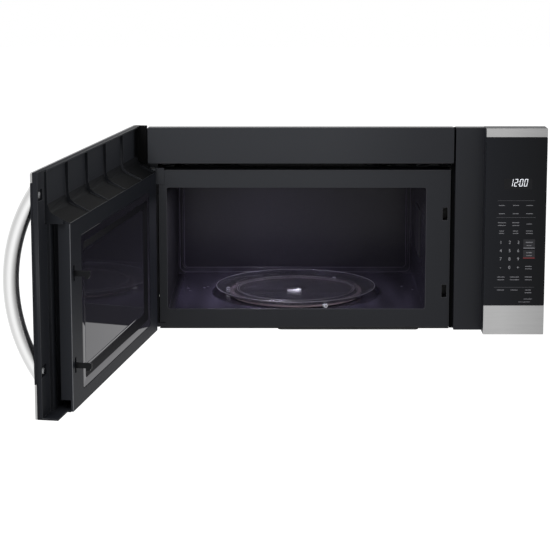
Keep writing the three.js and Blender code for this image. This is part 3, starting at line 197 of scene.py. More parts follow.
eye = Vector((-0.11981, -3.64886, 0.65172))
pitch, turn, roll = 0.1561, -0.0041, -0.0006
sight = Vector((math.sin(turn) * math.cos(pitch), math.cos(turn) * math.cos(pitch), -math.sin(pitch)))
camera = bpy.data.objects.new("camera", bpy.data.cameras.new("camera"))
camera.data.lens = 113.09
camera.data.sensor_width = 36
camera.data.shift_y = -0.15
camera.location = eye
camera.rotation_mode = "QUATERNION"
camera.rotation_quaternion = sight.to_track_quat("-Z", "Y") @ Matrix.Rotation(roll, 3, "Z").to_quaternion()
scene.collection.objects.link(camera)
scene.camera = camera

# The room gives the object half its light, and shows as plain white behind it, in metal and through glass.
room = bpy.data.worlds.new("room")
scene.world = room
room.use_nodes = True
air = Surface(room.node_tree)
strength = 0.5 + 0.5 * air.light_path("Is Camera Ray", "Is Glossy Ray", "Is Transmission Ray")
sky = air.node("Background", {}, {"Color": (1.0, 1.0, 1.0), "Strength": strength})
air.node("OutputWorld", {}, {"Surface": sky})


def lamp(name, place, aim, size, watts, colour=(1, 1, 1)):
    light = bpy.data.lights.new(name, "AREA")
    light.shape, light.size, light.energy, light.color = "DISK", size, watts, colour
    holder = bpy.data.objects.new(name, light)
    holder.location = place
    holder.rotation_mode = "QUATERNION"
    holder.rotation_quaternion = (Vector(aim) - Vector(place)).to_track_quat("-Z", "Y")
    scene.collection.objects.link(holder)


lamp("lamp_above", (-1.3, -2.2, 2.0), (-0.1, -0.4, 0), 1.4, 42)
lamp("lamp_right", (2.6, -2.2, 0.9), (0, -0.4, 0), 1.4, 12)


def pale_floor(surface):
    grain = surface.noise(3.0)
    shown = surface.light_path("Is Camera Ray", "Is Glossy Ray")
    return {
        "Base Color": surface.blend(grain, (0.86, 0.86, 0.86), (0.9, 0.9, 0.9)),
        "Roughness": 0.9,
        "Specular IOR Level": 0.0,
        "Emission Color": surface.blend(shown, (0.0, 0.0, 0.0), (0.68, 0.68, 0.68)),
        "Emission Strength": 1.0,
    }


reach, floor_level = 30, -1.8
corners = [(x * reach, y * reach, floor_level) for x, y in ((-1, -1), (1, -1), (1, 1), (-1, 1))]
floor_mesh = bpy.data.meshes.new("floor")
floor_mesh.from_pydata(corners, [], [(0, 1, 2, 3)])
floor_mesh.materials.append(finish("pale_floor", pale_floor))
floor = bpy.data.objects.new("floor", floor_mesh)
scene.collection.objects.link(floor)


# ---- Case ------------------------------------------------------------------------------------------------
# Folded sheet steel, painted satin charcoal, with rolled edges. The wrap, the face plate and the top panel
# are one paint, and the plates at the back and the cover of the roof port are bare galvanised steel.

SHARP = math.radians(32)


def slot_of(node):
    return next(part["material_slot"] for part in facts["subparts"] if part["node"] == node)


def baked(holder):
    """The mesh that an object comes to with its modifiers. The object itself goes."""
    scene.collection.objects.link(holder)
    bpy.context.view_layer.update()
    mesh = bpy.data.meshes.new_from_object(holder.evaluated_get(bpy.context.evaluated_depsgraph_get()))
    bpy.data.objects.remove(holder)
    return mesh


def fit(name, mesh, body, slot, *materials):
    """Makes a mesh a piece of the oven that rides on a body."""
    for material in materials:
        mesh.materials.append(material)
    piece = bpy.data.objects.new(name, mesh)
    scene.collection.objects.link(piece)
    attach(piece, body)
    return piece


def stand_in(name, mesh, node, *materials):
    """Makes a mesh the piece that shows in place of a node's plain solid."""
    piece = fit(name, mesh, body_of[node], slot_of(node), *materials)
    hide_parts(node)
    return piece


def eased(node, radius, material, segments=2, edge=None, least=0.0, where=None):
    """The solid of a node with its edges rolled or moulded to a radius, in place of the plain one.

    Edges shorter than least stay sharp, and so do those whose middle fails where. The rolled edges take
    their own finish where one is given, which in this script is always a painted highlight."""
    mesh = frame["nodes"][node].data.copy()
    mesh.shade_smooth()
    work = bmesh.new()
    work.from_mesh(mesh)
    bmesh.ops.remove_doubles(work, verts=work.verts, dist=2e-6)
    bmesh.ops.dissolve_limit(work, angle_limit=math.radians(0.6), verts=work.verts, edges=work.edges)
    weight = work.edges.layers.float.new("bevel_weight_edge")
    for line in work.edges:
        turned = len(line.link_faces) == 2 and line.calc_face_angle() > SHARP
        middle = (line.verts[0].co + line.verts[1].co) / 2
        chosen = line.calc_length() * 1000 >= least and (where is None or where(middle))
        line[weight] = float(turned and chosen)
        line.smooth = chosen or not turned
    work.to_mesh(mesh)
    work.free()
    mesh.materials.clear()
    mesh.materials.append(material)
    holder = bpy.data.objects.new(node, mesh)
    rolled = holder.modifiers.new("edge", "BEVEL")
    rolled.width, rolled.segments, rolled.limit_method = radius / 1000, segments, "WEIGHT"
    if edge:
        mesh.materials.append(edge)
        rolled.material = 1
    holder.modifiers.new("normals", "WEIGHTED_NORMAL").keep_sharp = True
    return stand_in(node + "_made", baked(holder), node)


def charcoal_paint(surface):
    """Satin paint with painted light in its colour: paler high up, as if lit from the upper left, and darker
    towards the right, where the paler top fades.
    """
    cloud = surface.noise(4.0, 1.0)
    peel = surface.noise(620.0, 2.0)
    speck = surface.noise(2600.0, 1.0)
    painted_fade_right = surface.rise(surface.measured("X"), 319.5, 589.5, smooth=True)
    upward = surface.rise(surface.measured("Z"), 0, 380)
    # Painted light and shade: shade sets how pale the paint is painted, from its height and how far right it
    # lies.
    shade = (upward * (1.0 - 0.8 * painted_fade_right) + 0.1 * cloud).at_most(1.0)
    return {
        "Base Color": surface.blend(shade, (0.0082, 0.0090, 0.0121), (0.0298, 0.0317, 0.0367)),
        "Roughness": 0.40 + 0.08 * speck,
        "Specular IOR Level": 0.2,
        "Normal": surface.bumped(0.7 * peel + 0.3 * speck, 0.00004),
    }


def edge_highlight(colour, rough):
    """The same finish painted lighter where a fold or a moulded corner is rounded, a painted highlight that
    shows the edge as a bright line; it is smoother there too.
    """

    def highlighted(surface):
        # Painted highlight: a lighter, patchy colour on the rounded edge.
        highlight_patches = surface.noise(45.0, 3.0)
        return {
            "Base Color": surface.blend(highlight_patches, tuple(0.7 * c for c in colour), colour),
            "Roughness": rough + 0.15 * highlight_patches,
            "Specular IOR Level": 0.2,
        }

    return highlighted


paint = finish("charcoal_paint", charcoal_paint)
# Painted highlight: the face plate's rolled edges take a lighter paint, so they show as bright lines.
paint_highlight = finish("charcoal_paint_highlight", edge_highlight((0.060, 0.062, 0.068), 0.35))
eased("outer_case", 0.8, paint)
eased("face_plate", 0.7, paint, 2, paint_highlight)
eased("top_panel", 1.0, paint, 3)


def zinc(surface):
    tone = surface.node("RGBToBW", {}, {"Color": surface.cells(130.0, "Color")})
    fine = surface.noise(900.0)
    return {
        "Base Color": surface.blend(tone, (0.36, 0.37, 0.38), (0.52, 0.53, 0.54)),
        "Metallic": 0.9,
        "Roughness": 0.34 + 0.2 * tone + 0.06 * fine,
        "Normal": surface.bumped(fine, 0.00002),
    }


zinc_steel = finish("zinc_steel", zinc)
eased("back_plate", 0.35, zinc_steel)
eased("wall_plate", 0.4, zinc_steel)
eased("exhaust_port_cover", 0.35, zinc_steel)


# ---- Case screws -----------------------------------------------------------------------------------------
# Zinc-plated pan-head screws with a cross recess hold the back plate to the wrap and the base plate to its
# flanges.


def turns(count):
    """Angles at even steps round a circle."""
    return [2 * math.pi * i / count for i in range(count)]


def skin(work, rings, joined=False):
    """Faces from each ring of points to the next. The last ring meets the first, or both ends are closed.

    It returns the faces in bands, one band for each step."""
    following = rings[1:] + rings[:1] if joined else rings[1:]
    bands = []
    for low, high in zip(rings, following):
        nexts = [*range(1, len(low)), 0]
        bands.append([work.faces.new((low[i], low[k], high[k], high[i])) for i, k in enumerate(nexts)])
    ends = [] if joined else [work.faces.new(rings[0][::-1]), work.faces.new(rings[-1])]
    bmesh.ops.recalc_face_normals(work, faces=[face for band in bands for face in band] + ends)
    return bands


def mesh_of(work, name, smooth_below=180):
    """The finished mesh. Faces that meet at less than an angle, in degrees, shade as one surface."""
    mesh = bpy.data.meshes.new(name)
    work.to_mesh(mesh)
    work.free()
    mesh.shade_smooth()
    mesh.set_sharp_from_angle(angle=math.radians(smooth_below))
    return mesh


def pan_head(work, place, facing, radius=3.6):
    """Adds a domed head with a cross recess, which faces a given way."""
    turned = Vector((0, 0, 1)).rotation_difference(Vector(facing)).to_matrix().to_4x4()
    stance = Matrix.Translation(place) @ turned

    def ring(rise, arm, hollow=None):
        points = []
        for a in turns(24):
            in_arm = hollow is None or max(abs(math.cos(a)), abs(math.sin(a))) > 0.93
            size = radius * (arm if in_arm else hollow)
            spot = Vector((size * math.cos(a), size * math.sin(a), rise)) / 1000
            points.append(work.verts.new(stance @ spot))
        return points

    head = [ring(-0.4, 1.0), ring(0.6, 1.0), ring(1.4, 0.82), ring(1.8, 0.5)]
    recess = [ring(1.75, 0.48, 0.17), ring(0.7, 0.46, 0.15)]
    skin(work, head + recess)


back_screws = [(x, 386.5, z) for x in (14, 745) for z in (20, 326)]
back_screws += [(x, 386.5, z) for x in (250, 510) for z in (12, 334)]
base_screws = [(x, y, 0) for x in (12, 746) for y in (60, 220, 370)] + [(620, 40, 0), (640, 350, 0)]
screws = bmesh.new()
for places, facing in ((back_screws, (0, 1, 0)), (base_screws, (0, 0, -1))):
    for spot in places:
        pan_head(screws, at(*spot), facing)
fit("case_screws", mesh_of(screws, "case_screws", 40), "cabinet", "galvanised", zinc_steel)


# ---- Underside -------------------------------------------------------------------------------------------
# Two aluminium mesh filters drop out of the moulded black base, and a shallow cover in the same black is
# clipped over the lamp that lights the hob.


def filter_mesh(surface):
    wires = surface.bands("X", 160.0, 1.2).at_least(surface.bands("Y", 160.0, 1.2))
    return {
        "Base Color": surface.blend(wires, (0.18, 0.18, 0.18), (0.62, 0.62, 0.61)),
        "Metallic": 1.0,
        "Roughness": 0.5 - 0.15 * wires,
        "Normal": surface.bumped(wires, 0.0004),
    }


aluminium = finish("filter_aluminium", filter_mesh)
eased("grease_filter_left", 0.5, aluminium)
eased("grease_filter_right", 0.5, aluminium)


def moulded_black(surface):
    grain = surface.noise(1900.0, 2.0)
    cloud = surface.noise(9.0, 1.0)
    return {
        "Base Color": surface.blend(cloud, (0.0090, 0.0094, 0.0105), (0.0125, 0.0130, 0.0142)),
        "Roughness": 0.44 + 0.12 * grain,
        "Specular IOR Level": 0.35,
        "Normal": surface.bumped(grain, 0.00003),
    }


black = finish("moulded_black", moulded_black)
eased("base_plate", 0.4, black)
eased("light_cover", 0.8, black, 3)


def lamp_board(surface):
    grain = surface.noise(700.0)
    return {
        "Base Color": surface.blend(grain, (0.74, 0.74, 0.72), (0.8, 0.8, 0.78)),
        "Roughness": 0.5 + 0.1 * grain,
    }


def dress(material, *nodes):
    """A finish on nodes that stay as they are."""
    for node in nodes:
        for slot in frame["nodes"][node].material_slots:
            slot.material = material


white = finish("white_plastic", lamp_board)
dress(white, "cooktop_lamp")


# ---- Cavity ----------------------------------------------------------------------------------------------
# A welded steel box in dark violet-grey enamel with fired specks, a stepped back wall, a round well in the
# floor for the rollers and small pressed dimples. The mica cover hides the microwave feed in the right wall.

oven_floor = 35.0


def oven_enamel(surface):
    """Enamel with fired specks. The floor is painted lighter, as painted light, with streaks of painted
    reflection, and the left wall is painted dark, as painted shade, and rougher.
    """
    specks = surface.cells(900.0).over(0.16)
    flow = surface.noise(60.0, 2.0)
    cloud = surface.noise(7.0, 1.0)
    wall = surface.blend(cloud, (0.0105, 0.0097, 0.0142), (0.0150, 0.0138, 0.0200))
    # Painted reflection: pale streaks running front to back on the floor.
    reflection_streak = surface.rise(surface.noise(22.0, 1.0, (1, 0.12, 1)), 0.36, 0.64)
    painted_lit_floor = surface.blend(reflection_streak, (0.0150, 0.0136, 0.0205), (0.0310, 0.0280, 0.0430))
    # Painted light on the floor (low) and painted shade on the left wall (left).
    low = surface.rise(surface.measured("Z"), oven_floor + 15, oven_floor + 3)
    left = surface.rise(surface.measured("X"), 53.5, 43.5)
    enamel_tone = surface.blend(left, surface.blend(low, wall, painted_lit_floor), (0.0030, 0.0028, 0.0042))
    return {
        "Base Color": surface.blend(specks, (0.055, 0.052, 0.068), enamel_tone),
        "Roughness": 0.16 + 0.12 * flow + 0.4 * left,
        "Specular IOR Level": 0.15,
        "Normal": surface.bumped(flow, 0.00012),
    }


enamel = finish("oven_enamel", oven_enamel)
# Painted highlight: the cavity's rolled edges, the beads on its back wall and the dimples in its floor take a
# lighter enamel, so they show as bright lines and glints.
enamel_highlight = finish("oven_enamel_highlight", edge_highlight((0.055, 0.050, 0.070), 0.12))
eased("cavity_shell", 1.6, enamel, 3, enamel_highlight)
lamp("oven_light", at(215, 160, 274), at(235, 150, 40), 0.06, 1.3, (0.88, 0.84, 1.0))


def corner_path(x0, x1, z0, z1, radius, steps=10):
    """Points round a rectangle with round corners, seen from the front."""
    left, right, low, high = x0 + radius, x1 - radius, z0 + radius, z1 - radius
    points = []
    for cx, cz, start in ((right, low, -90), (right, high, 0), (left, high, 90), (left, low, 180)):
        for i in range(steps + 1):
            a = math.radians(start + 90 * i / steps)
            points.append((cx + radius * math.cos(a), cz + radius * math.sin(a)))
    return points


def bead(name, path, y, radius):
    """A pressed half-round bead that follows a closed path at one depth."""
    work = bmesh.new()
    rings = []
    for i, (x, z) in enumerate(path):
        before, after = path[i - 1], path[(i + 1) % len(path)]
        along = Vector((after[0] - before[0], 0, after[1] - before[1])).normalized()
        outward = Vector((along.z, 0, -along.x)) * radius
        inward = Vector((0, radius, 0))
        centre = Vector((x, y, z))
        points = [centre + outward * math.cos(t) + inward * math.sin(t) for t in turns(8)]
        rings.append([work.verts.new(at(*point)) for point in points])
    skin(work, rings, joined=True)
    fit(name, mesh_of(work, name), "cabinet", "enamel", enamel_highlight)


# The beads take the painted-highlight enamel.
bead("back_wall_bead_outer", corner_path(41.5, 533.5, 38.4, 276.0, 13), 372.0, 1.0)
bead("back_wall_bead_inner", corner_path(50.5, 524.5, 47.3, 268.0, 9), 375.0, 1.1)


def mica(surface):
    flake = surface.noise(160.0, 4.0)
    return {
        "Base Color": surface.blend(flake, (0.0090, 0.0084, 0.0125), (0.0130, 0.0122, 0.0170)),
        "Roughness": 0.35 + 0.2 * flake,
        "Normal": surface.bumped(flake, 0.00006),
    }


eased("waveguide_cover", 0.3, finish("mica_sheet", mica))


def dome(work, place, radius, height):
    """Adds a low round pressing that stands on a floor."""
    rings = []
    for step in range(5):
        a = step / 5 * math.pi / 2
        size, rise = radius * math.cos(a), height * math.sin(a)
        points = [Vector((size * math.cos(t), size * math.sin(t), rise)) for t in turns(20)]
        rings.append([work.verts.new(place + point / 1000) for point in points])
    skin(work, rings)


# The dimples take the painted-highlight enamel, so they show as glints.
dimples = bmesh.new()
for x, y in ((66, 222), (72, 196), (100, 222), (107, 232), (507, 236), (527, 205)):
    dome(dimples, at(x, y, oven_floor), 3.0, 1.4)
fit("floor_dimples", mesh_of(dimples, "floor_dimples"), "cabinet", "enamel", enamel_highlight)


# ---- Turntable -------------------------------------------------------------------------------------------
# A pressed glass tray with a raised rim and two moulded steps rests on a white three-lobed drive hub and on
# three white rollers that a thin hoop holds apart. Pale rings along the glass's rim and its steps are painted
# highlights, and the hub and the rollers have a painted glow.

tray_centre = (287.5, 190.0)
tray_low = 37.8
tray_thickness = 4.0
boss_radius = 24.0


def pressed_glass(surface):
    """Faintly violet glass that thins to a clear boss over the hub."""
    ripple = surface.noise(38.0, 2.0)
    hub = at(*tray_centre, tray_low + tray_thickness)
    away = surface.node("VectorMath", {"operation": "DISTANCE"}, {0: surface.spot(), 1: hub}, out="Value")
    return {
        "Base Color": surface.blend(ripple, (0.66, 0.65, 0.75), (0.72, 0.71, 0.80)),
        "Roughness": 0.02 + 0.03 * ripple,
        "IOR": 1.47,
        "Transmission Weight": 0.985,
        "Alpha": 0.12 + 0.62 * away.over(boss_radius / 1000),
        "Normal": surface.bumped(ripple, 0.00025),
    }


def lathed(name, profile, joined=False):
    """A profile of (radius, height over the tray's underside) turned about the turntable's axis."""
    x, y = tray_centre
    work = bmesh.new()
    rings = []
    for radius, rise in profile:
        points = [at(x + radius * math.cos(a), y + radius * math.sin(a), tray_low + rise) for a in turns(160)]
        rings.append([work.verts.new(point) for point in points])
    skin(work, rings, joined)
    # A flat end becomes a fan round the axis.
    bmesh.ops.poke(work, faces=[face for face in work.faces if len(face.verts) > 4])
    return mesh_of(work, name, 38)


underside = [(114, 0), (115.2, 0.7), (117.5, 0.7), (118.7, 0), (144, 0), (147.5, 0.6), (150, 2.0), (157, 5.6)]
rim = [(160.5, 7.4), (162.2, 8.6), (162.5, 9.5), (161.8, 10.3), (160.2, 10.5), (158.4, 9.9)]
dish = [(154, 7.6), (148, 5.0), (145, 4.2), (142, tray_thickness), (119.5, tray_thickness)]
dish += [(118.2, 4.7), (115.8, 4.7), (114.5, tray_thickness)]
tray_mesh = lathed("tray_glass", underside + rim + dish)
stand_in("tray_glass", tray_mesh, "glass_tray", finish("pressed_glass", pressed_glass))


def painted_ring(colour):
    """A painted highlight: a pale ring that stands in for the light that the glass's rim and steps catch."""

    def ring_highlight(surface):
        grain = surface.noise(700.0, 2.0)
        return {
            "Base Color": surface.blend(grain, tuple(0.6 * c for c in colour), colour),
            "Roughness": 0.3 + 0.1 * grain,
        }

    return ring_highlight


rim_highlight = finish("rim_highlight_ring", painted_ring((0.17, 0.164, 0.195)))
step_highlight = finish("step_highlight_ring", painted_ring((0.085, 0.080, 0.098)))
# Painted highlights: thin pale rings along the rim and the two steps.
for name, radius, rise, thick, ring_highlight in (
    ("tray_rim_line", 160.8, 10.3, 0.6, rim_highlight),
    ("tray_step_line", 118.9, 4.4, 0.45, step_highlight),
    ("tray_inner_line", 115.2, 4.4, 0.3, step_highlight),
):
    section = [(radius + thick * math.cos(t), rise + thick * math.sin(t)) for t in turns(8)]
    fit(name, lathed(name, section, joined=True), "tray", "clear_glass", ring_highlight)


def glowing_nylon(surface):
    """White nylon of the hub and the rollers, with a painted glow that makes them show bright under the
    glass.
    """
    grain = surface.noise(900.0)
    return {
        "Base Color": surface.blend(grain, (0.84, 0.84, 0.87), (0.90, 0.90, 0.93)),
        "Roughness": 0.3 + 0.1 * grain,
        # Painted glow: the nylon gives off a faint light of its own.
        "Emission Color": surface.blend(grain, (0.46, 0.45, 0.54), (0.52, 0.51, 0.60)),
        "Emission Strength": 0.16,
    }


nylon_glow = finish("glowing_nylon", glowing_nylon)
eased("drive_coupler", 0.5, nylon_glow)
for roller in (1, 2, 3):
    eased(f"roller_{roller}", 0.4, nylon_glow)


def smoky_nylon(surface):
    grain = surface.noise(800.0)
    return {
        "Base Color": surface.blend(grain, (0.240, 0.185, 0.195), (0.320, 0.250, 0.265)),
        "Roughness": 0.3 + 0.1 * grain,
    }


eased("roller_ring", 0.5, finish("smoky_nylon", smoky_nylon))


# ---- Works behind the walls ------------------------------------------------------------------------------
# Zinc housings for the blower and the feed, a wound transformer, an oil capacitor, the cooling fan, motors
# and the black switch carrier, screwed to the case. They show through vents and when the case is off.

dress(zinc_steel, "waveguide", "magnetron", "exhaust_housing", "turntable_motor", "capacitor")


def dark_steel(surface):
    grain = surface.noise(600.0)
    return {
        "Base Color": surface.blend(grain, (0.030, 0.030, 0.032), (0.05, 0.05, 0.052)),
        "Metallic": 0.8,
        "Roughness": 0.35 + 0.15 * grain,
    }


dark = finish("dark_steel", dark_steel)
dress(dark, "exhaust_motor", "cooling_fan_motor", "window_screen")
dress(black, "latch_board", "door_switch_upper", "door_switch_lower", "switch_plunger_upper")
dress(black, "switch_plunger_lower", "exhaust_wheel", "charcoal_filter", "cooling_fan_housing")
dress(black, "cord_grommet")
dress(white, "cooling_fan_wheel", "cavity_lamp")


def windings(surface):
    wire = surface.bands("Z", 420.0, 0.4)
    return {
        "Base Color": surface.blend(wire, (0.16, 0.055, 0.02), (0.45, 0.19, 0.08)),
        "Metallic": 0.8,
        "Roughness": 0.45 - 0.15 * wire,
        "Normal": surface.bumped(wire, 0.0003),
    }


dress(finish("copper_windings", windings), "transformer")


def circuit_board(surface):
    sockets = {"Vector": surface.place(), "Scale": 90.0, "Mortar Size": 0.03}
    tracks = surface.node("TexBrick", {}, sockets, out="Fac")
    return {
        "Base Color": surface.blend(tracks, (0.012, 0.07, 0.030), (0.03, 0.16, 0.07)),
        "Roughness": 0.4 - 0.1 * tracks,
    }


dress(finish("circuit_board", circuit_board), "control_board")


# ---- Hinges ----------------------------------------------------------------------------------------------
# Two pressed steel tabs in the case's paint, screwed to the face plate, carry the black pins that the door
# turns on.

for part, radius, coating in (("bracket", 0.4, paint), ("pin", 0.3, black)):
    for end in ("upper", "lower"):
        eased(f"hinge_{part}_{end}", radius, coating)


# ---- Control housing -------------------------------------------------------------------------------------
# The strip and the raised box right of the door, painted like the case and screwed to its side. A near-black
# strip fills the groove between the strip and the face plate as painted shade.

eased("control_housing", 0.9, paint, 3)


def groove_shade(surface):
    cells = surface.noise(900.0, 3.0)
    return {
        "Base Color": surface.blend(cells, (0.0016, 0.0017, 0.0020), (0.0030, 0.0032, 0.0036)),
        "Roughness": 0.9,
        "Specular IOR Level": 0.05,
        "Normal": surface.bumped(cells, 0.0003),
    }


def slab(work, x, y, z):
    """Adds a block that fills three (low, high) spans."""
    outline = ((x[0], z[0]), (x[1], z[0]), (x[1], z[1]), (x[0], z[1]))
    skin(work, [[work.verts.new(at(a, depth, c)) for a, c in outline] for depth in y])


# A near-black strip deep in the groove stands in for the groove's shade.
strip = bmesh.new()
slab(strip, (583.6, 591.4), (15.5, 19.5), (0.3, 392.4))
bmesh.ops.bevel(strip, geom=strip.edges[:], offset=0.0006, segments=3, affect="EDGES", profile=0.5)
groove_shade_mesh = mesh_of(strip, "groove_shade_strip", 40)
fit("groove_shade_strip", groove_shade_mesh, "cabinet", "black_plastic", finish("groove_shade_black", groove_shade))


# ---- Control front ---------------------------------------------------------------------------------------
# Smoked glass over the display and the touch board, between two trims of brushed stainless steel. All three
# are clipped to the control housing.


def smoked_glass(surface):
    cloud = surface.noise(6.0, 1.0)
    # Painted reflection: the glass is painted lighter at its left end and darker towards the right.
    painted_fade_right = surface.rise(surface.measured("X") + 20 * cloud, 649.5, 764.5)
    return {
        "Base Color": surface.blend(painted_fade_right, (0.0078, 0.0088, 0.0124), (0.0014, 0.0019, 0.0031)),
        "Roughness": 0.05 + 0.03 * cloud,
        "Specular IOR Level": 0.12,
    }


smoked = finish("smoked_glass", smoked_glass)
eased("control_glass", 0.5, smoked, 3)
dress(black, "display_module")


def brushed(stretch, far_shade=1.0):
    """Stainless steel with fine scratches; stretch is short along the axis that they run on.

    The panel's far end takes painted shade: its tone is painted down to far_shade of itself there."""

    def steel(surface):
        scratch = surface.noise(260.0, 4.0, stretch, 0.7)
        broad = surface.noise(40.0, 2.0, stretch)
        mottle = surface.noise(25.0, 2.0)
        grain = 0.6 * scratch + 0.4 * broad
        light = surface.blend(grain, (0.325,) * 3, (0.455,) * 3)
        # Painted shade: a darker copy of the tone for the far end.
        painted_shade_tone = surface.blend(grain, (0.325 * far_shade,) * 3, (0.455 * far_shade,) * 3)
        far = surface.rise(surface.measured("X"), 679.5, 759.5)
        return {
            "Base Color": surface.blend(far, light, painted_shade_tone),
            "Metallic": 1.0,
            "Roughness": 0.24 + 0.16 * scratch + 0.05 * mottle,
            "Normal": surface.bumped(scratch, 0.00003),
        }

    return steel


steel_across = finish("steel_brushed_across", brushed((0.05, 1, 1), 0.78))
eased("control_trim_top", 0.8, steel_across, 3)
eased("control_trim_bottom", 0.8, steel_across, 3)


# ---- Clock and print -------------------------------------------------------------------------------------
# Inks fired on the control glass: a window with four lit digits, rows of small legends as runs of strokes,
# the keypad's numbers, and two pads underlined in grey and red. Places are those of the oven's front.

# The control glass and the shut door's glass share one plane, ahead of the oven's front plane.
front_face = -39.0


def printed(name, colour, glow=0.0):
    def ink(surface):
        grain = surface.noise(1500.0)
        return {
            "Base Color": surface.blend(grain, tuple(0.92 * c for c in colour), colour),
            "Roughness": 0.5,
            "Specular IOR Level": 0.12,
            "Emission Color": surface.blend(grain, tuple(0.95 * c for c in colour), colour),
            "Emission Strength": glow,
        }

    return finish(name, ink)


def marks(name, boxes, material, proud=0.12):
    """Printed marks on the glass, from their spans of x and z."""
    work = bmesh.new()
    for x, z in boxes:
        slab(work, x, (front_face - proud, front_face + 0.05), z)
    return fit(name, mesh_of(work, name, 40), "cabinet", "black_plastic", material)


# The clock: seven-segment digits that lean to the right.
digit_low, digit_high, digit_width, pen, lean = 286.4, 300.47, 6.0, 1.05, 0.17
digit_middle = (digit_low + digit_high) / 2
SEGMENTS = {"0": "abcdef", "1": "bc", "2": "abged"}


def digit(character, left):
    """The spans of a digit's segments, lettered clockwise from the top, with g across the middle."""
    right = left + digit_width
    flat = (left + 0.6, right - 0.6)
    upper, lower = (digit_middle + 0.4, digit_high - 0.5), (digit_low + 0.5, digit_middle - 0.4)
    spans = {
        "a": (flat, (digit_high - pen, digit_high)),
        "b": ((right - pen, right), upper),
        "c": ((right - pen, right), lower),
        "d": (flat, (digit_low, digit_low + pen)),
        "e": ((left, left + pen), lower),
        "f": ((left, left + pen), upper),
        "g": (flat, (digit_middle - pen / 2, digit_middle + pen / 2)),
    }
    return [spans[letter] for letter in SEGMENTS[character]]


colon = (705.54, 706.64)
clock = [(colon, (295.15, 296.48)), (colon, (289.63, 290.96))]
for character, left in zip("1200", (689.19, 697.93, 707.82, 716.57)):
    clock += digit(character, left)
display_black = printed("clock_window", (0.0080, 0.0083, 0.0095))
marks("clock_window", [((678.16, 731.4), (281.08, 300.85))], display_black, 0.06)
digits = marks("clock_digits", clock, printed("clock_white", (0.78, 0.80, 0.84), 0.75), 0.14)
for vertex in digits.data.vertices:
    vertex.co.x += lean * (vertex.co.z - at(0, 0, digit_middle).z)

# The legends stand in three columns.
LEFT, MIDDLE, RIGHT = 675.31, 701.54, 727.59
random.seed(5)


def legend(x, z, width, height=1.5):
    """Strokes that fill a legend's place, centred on x and z."""
    start, end = x - width / 2, x + width / 2
    strokes = []
    while start < end - 0.4:
        wide = random.choice((0.45, 0.8, 1.0))
        drop = random.choice((0, 0, 0.35))
        strokes.append(((start, min(start + wide, end)), (z - height / 2, z + height / 2 - drop)))
        start += wide + 0.35
    return strokes


grey_print = printed("grey_print", (0.26, 0.26, 0.28))
rows = [
    ((250.08, 234.3), ((LEFT, 12), (MIDDLE, 11), (RIGHT, 13))),
    ((217.0, 211.68), ((LEFT + 0.57, 15), (MIDDLE + 0.38, 13))),
    ((214.53,), ((RIGHT, 11),)),
    ((201.03, 196.47), ((LEFT, 9), (MIDDLE + 0.38, 10), (RIGHT + 0.38, 13))),
    ((132.77, 128.02), ((RIGHT, 12),)),
    ((112.24, 106.91), ((LEFT + 0.57, 14), (MIDDLE, 17), (RIGHT + 0.38, 13))),
    ((86.95,), ((LEFT + 0.19, 13), (MIDDLE, 13), (RIGHT + 0.38, 11))),
    ((81.81,), ((RIGHT + 0.38, 13),)),
]
legends = []
for heights, words in rows:
    for z in heights:
        for x, width in words:
            legends += legend(x, z, width)
legends += legend(RIGHT, 69.46, 15, 1.2) + legend(720.94, 63.75, 22, 1.2)
marks("legends", legends, grey_print)
rules = [(666.75, 737.1, 259.21), (664.85, 739.0, 226.89), (662.95, 739.0, 92.27)]
dim_print = printed("dim_print", (0.10, 0.10, 0.11))
marks("ruled_lines", [((left, right), (z - 0.25, z + 0.25)) for left, right, z in rules], dim_print)

pad_span = (717.14, 739.0)
pad_print = printed("pad_grey", (0.026, 0.026, 0.029))
marks("start_stop_pads", [(pad_span, (168.9, 184.87)), (pad_span, (149.88, 164.33))], pad_print, 0.06)
marks("start_line", [(pad_span, (167.38, 168.71))], grey_print, 0.1)
marks("stop_line", [(pad_span, (148.17, 149.69))], printed("red_print", (0.24, 0.045, 0.045)), 0.1)
pad_legends = []
for z, width, height in ((179.16, 13, 2.0), (173.08, 9, 1.5), (159.39, 10, 2.0), (153.69, 11, 1.5)):
    pad_legends += legend(RIGHT + 0.57, z, width, height)
marks("pad_legends", pad_legends, grey_print)


def number(text, x, z, size=8.4):
    """The mesh of one printed character, centred on x and z."""
    curve = bpy.data.curves.new("key_" + text, "FONT")
    curve.body, curve.size, curve.align_x, curve.align_y = text, size / 1000, "CENTER", "CENTER"
    curve.extrude = 0.00005
    mesh = baked(bpy.data.objects.new("key", curve))
    mesh.transform(Matrix.Translation(at(x, front_face - 0.1, z)) @ Matrix.Rotation(math.pi / 2, 4, "X"))
    return mesh


keys = bmesh.new()
for row, z in zip(("123", "456", "789", "-0+"), (178.97, 162.81, 146.84, 130.49)):
    for character, x in zip(row, (674.55, 691.28, 707.63)):
        keys.from_mesh(number(character, x, z))
key_print = printed("key_print", (0.33, 0.33, 0.35))
fit("keypad_numbers", mesh_of(keys, "keypad_numbers", 40), "cabinet", "black_plastic", key_print)


# ---- Door frame ------------------------------------------------------------------------------------------
# One black moulding with an air scoop and five ribs along its top, which hangs on the two hinge pins. The
# edges by the hinge stay sharp and take no painted highlight, the nook by the hinge and the free end are
# painted darker as painted shade, and the scoop's floor is matt, with painted shade that deepens downwards.
# The other long edges carry a painted highlight.


def joint(name):
    return next(made for made in facts["behaviour"]["joints"] if made["name"] == name)


pin = Vector(joint("door_hinge")["pos_m"]) * 1000 + ROW
swing = math.radians(joint("door_hinge")["range_deg"][1])


def on_door(s, y, z):
    """A place on the shut door, moved to where the open door holds it."""
    a, b = s - pin.x, y - pin.y
    x = pin.x + a * math.cos(swing) + b * math.sin(swing)
    return at(x, pin.y - a * math.sin(swing) + b * math.cos(swing), z)


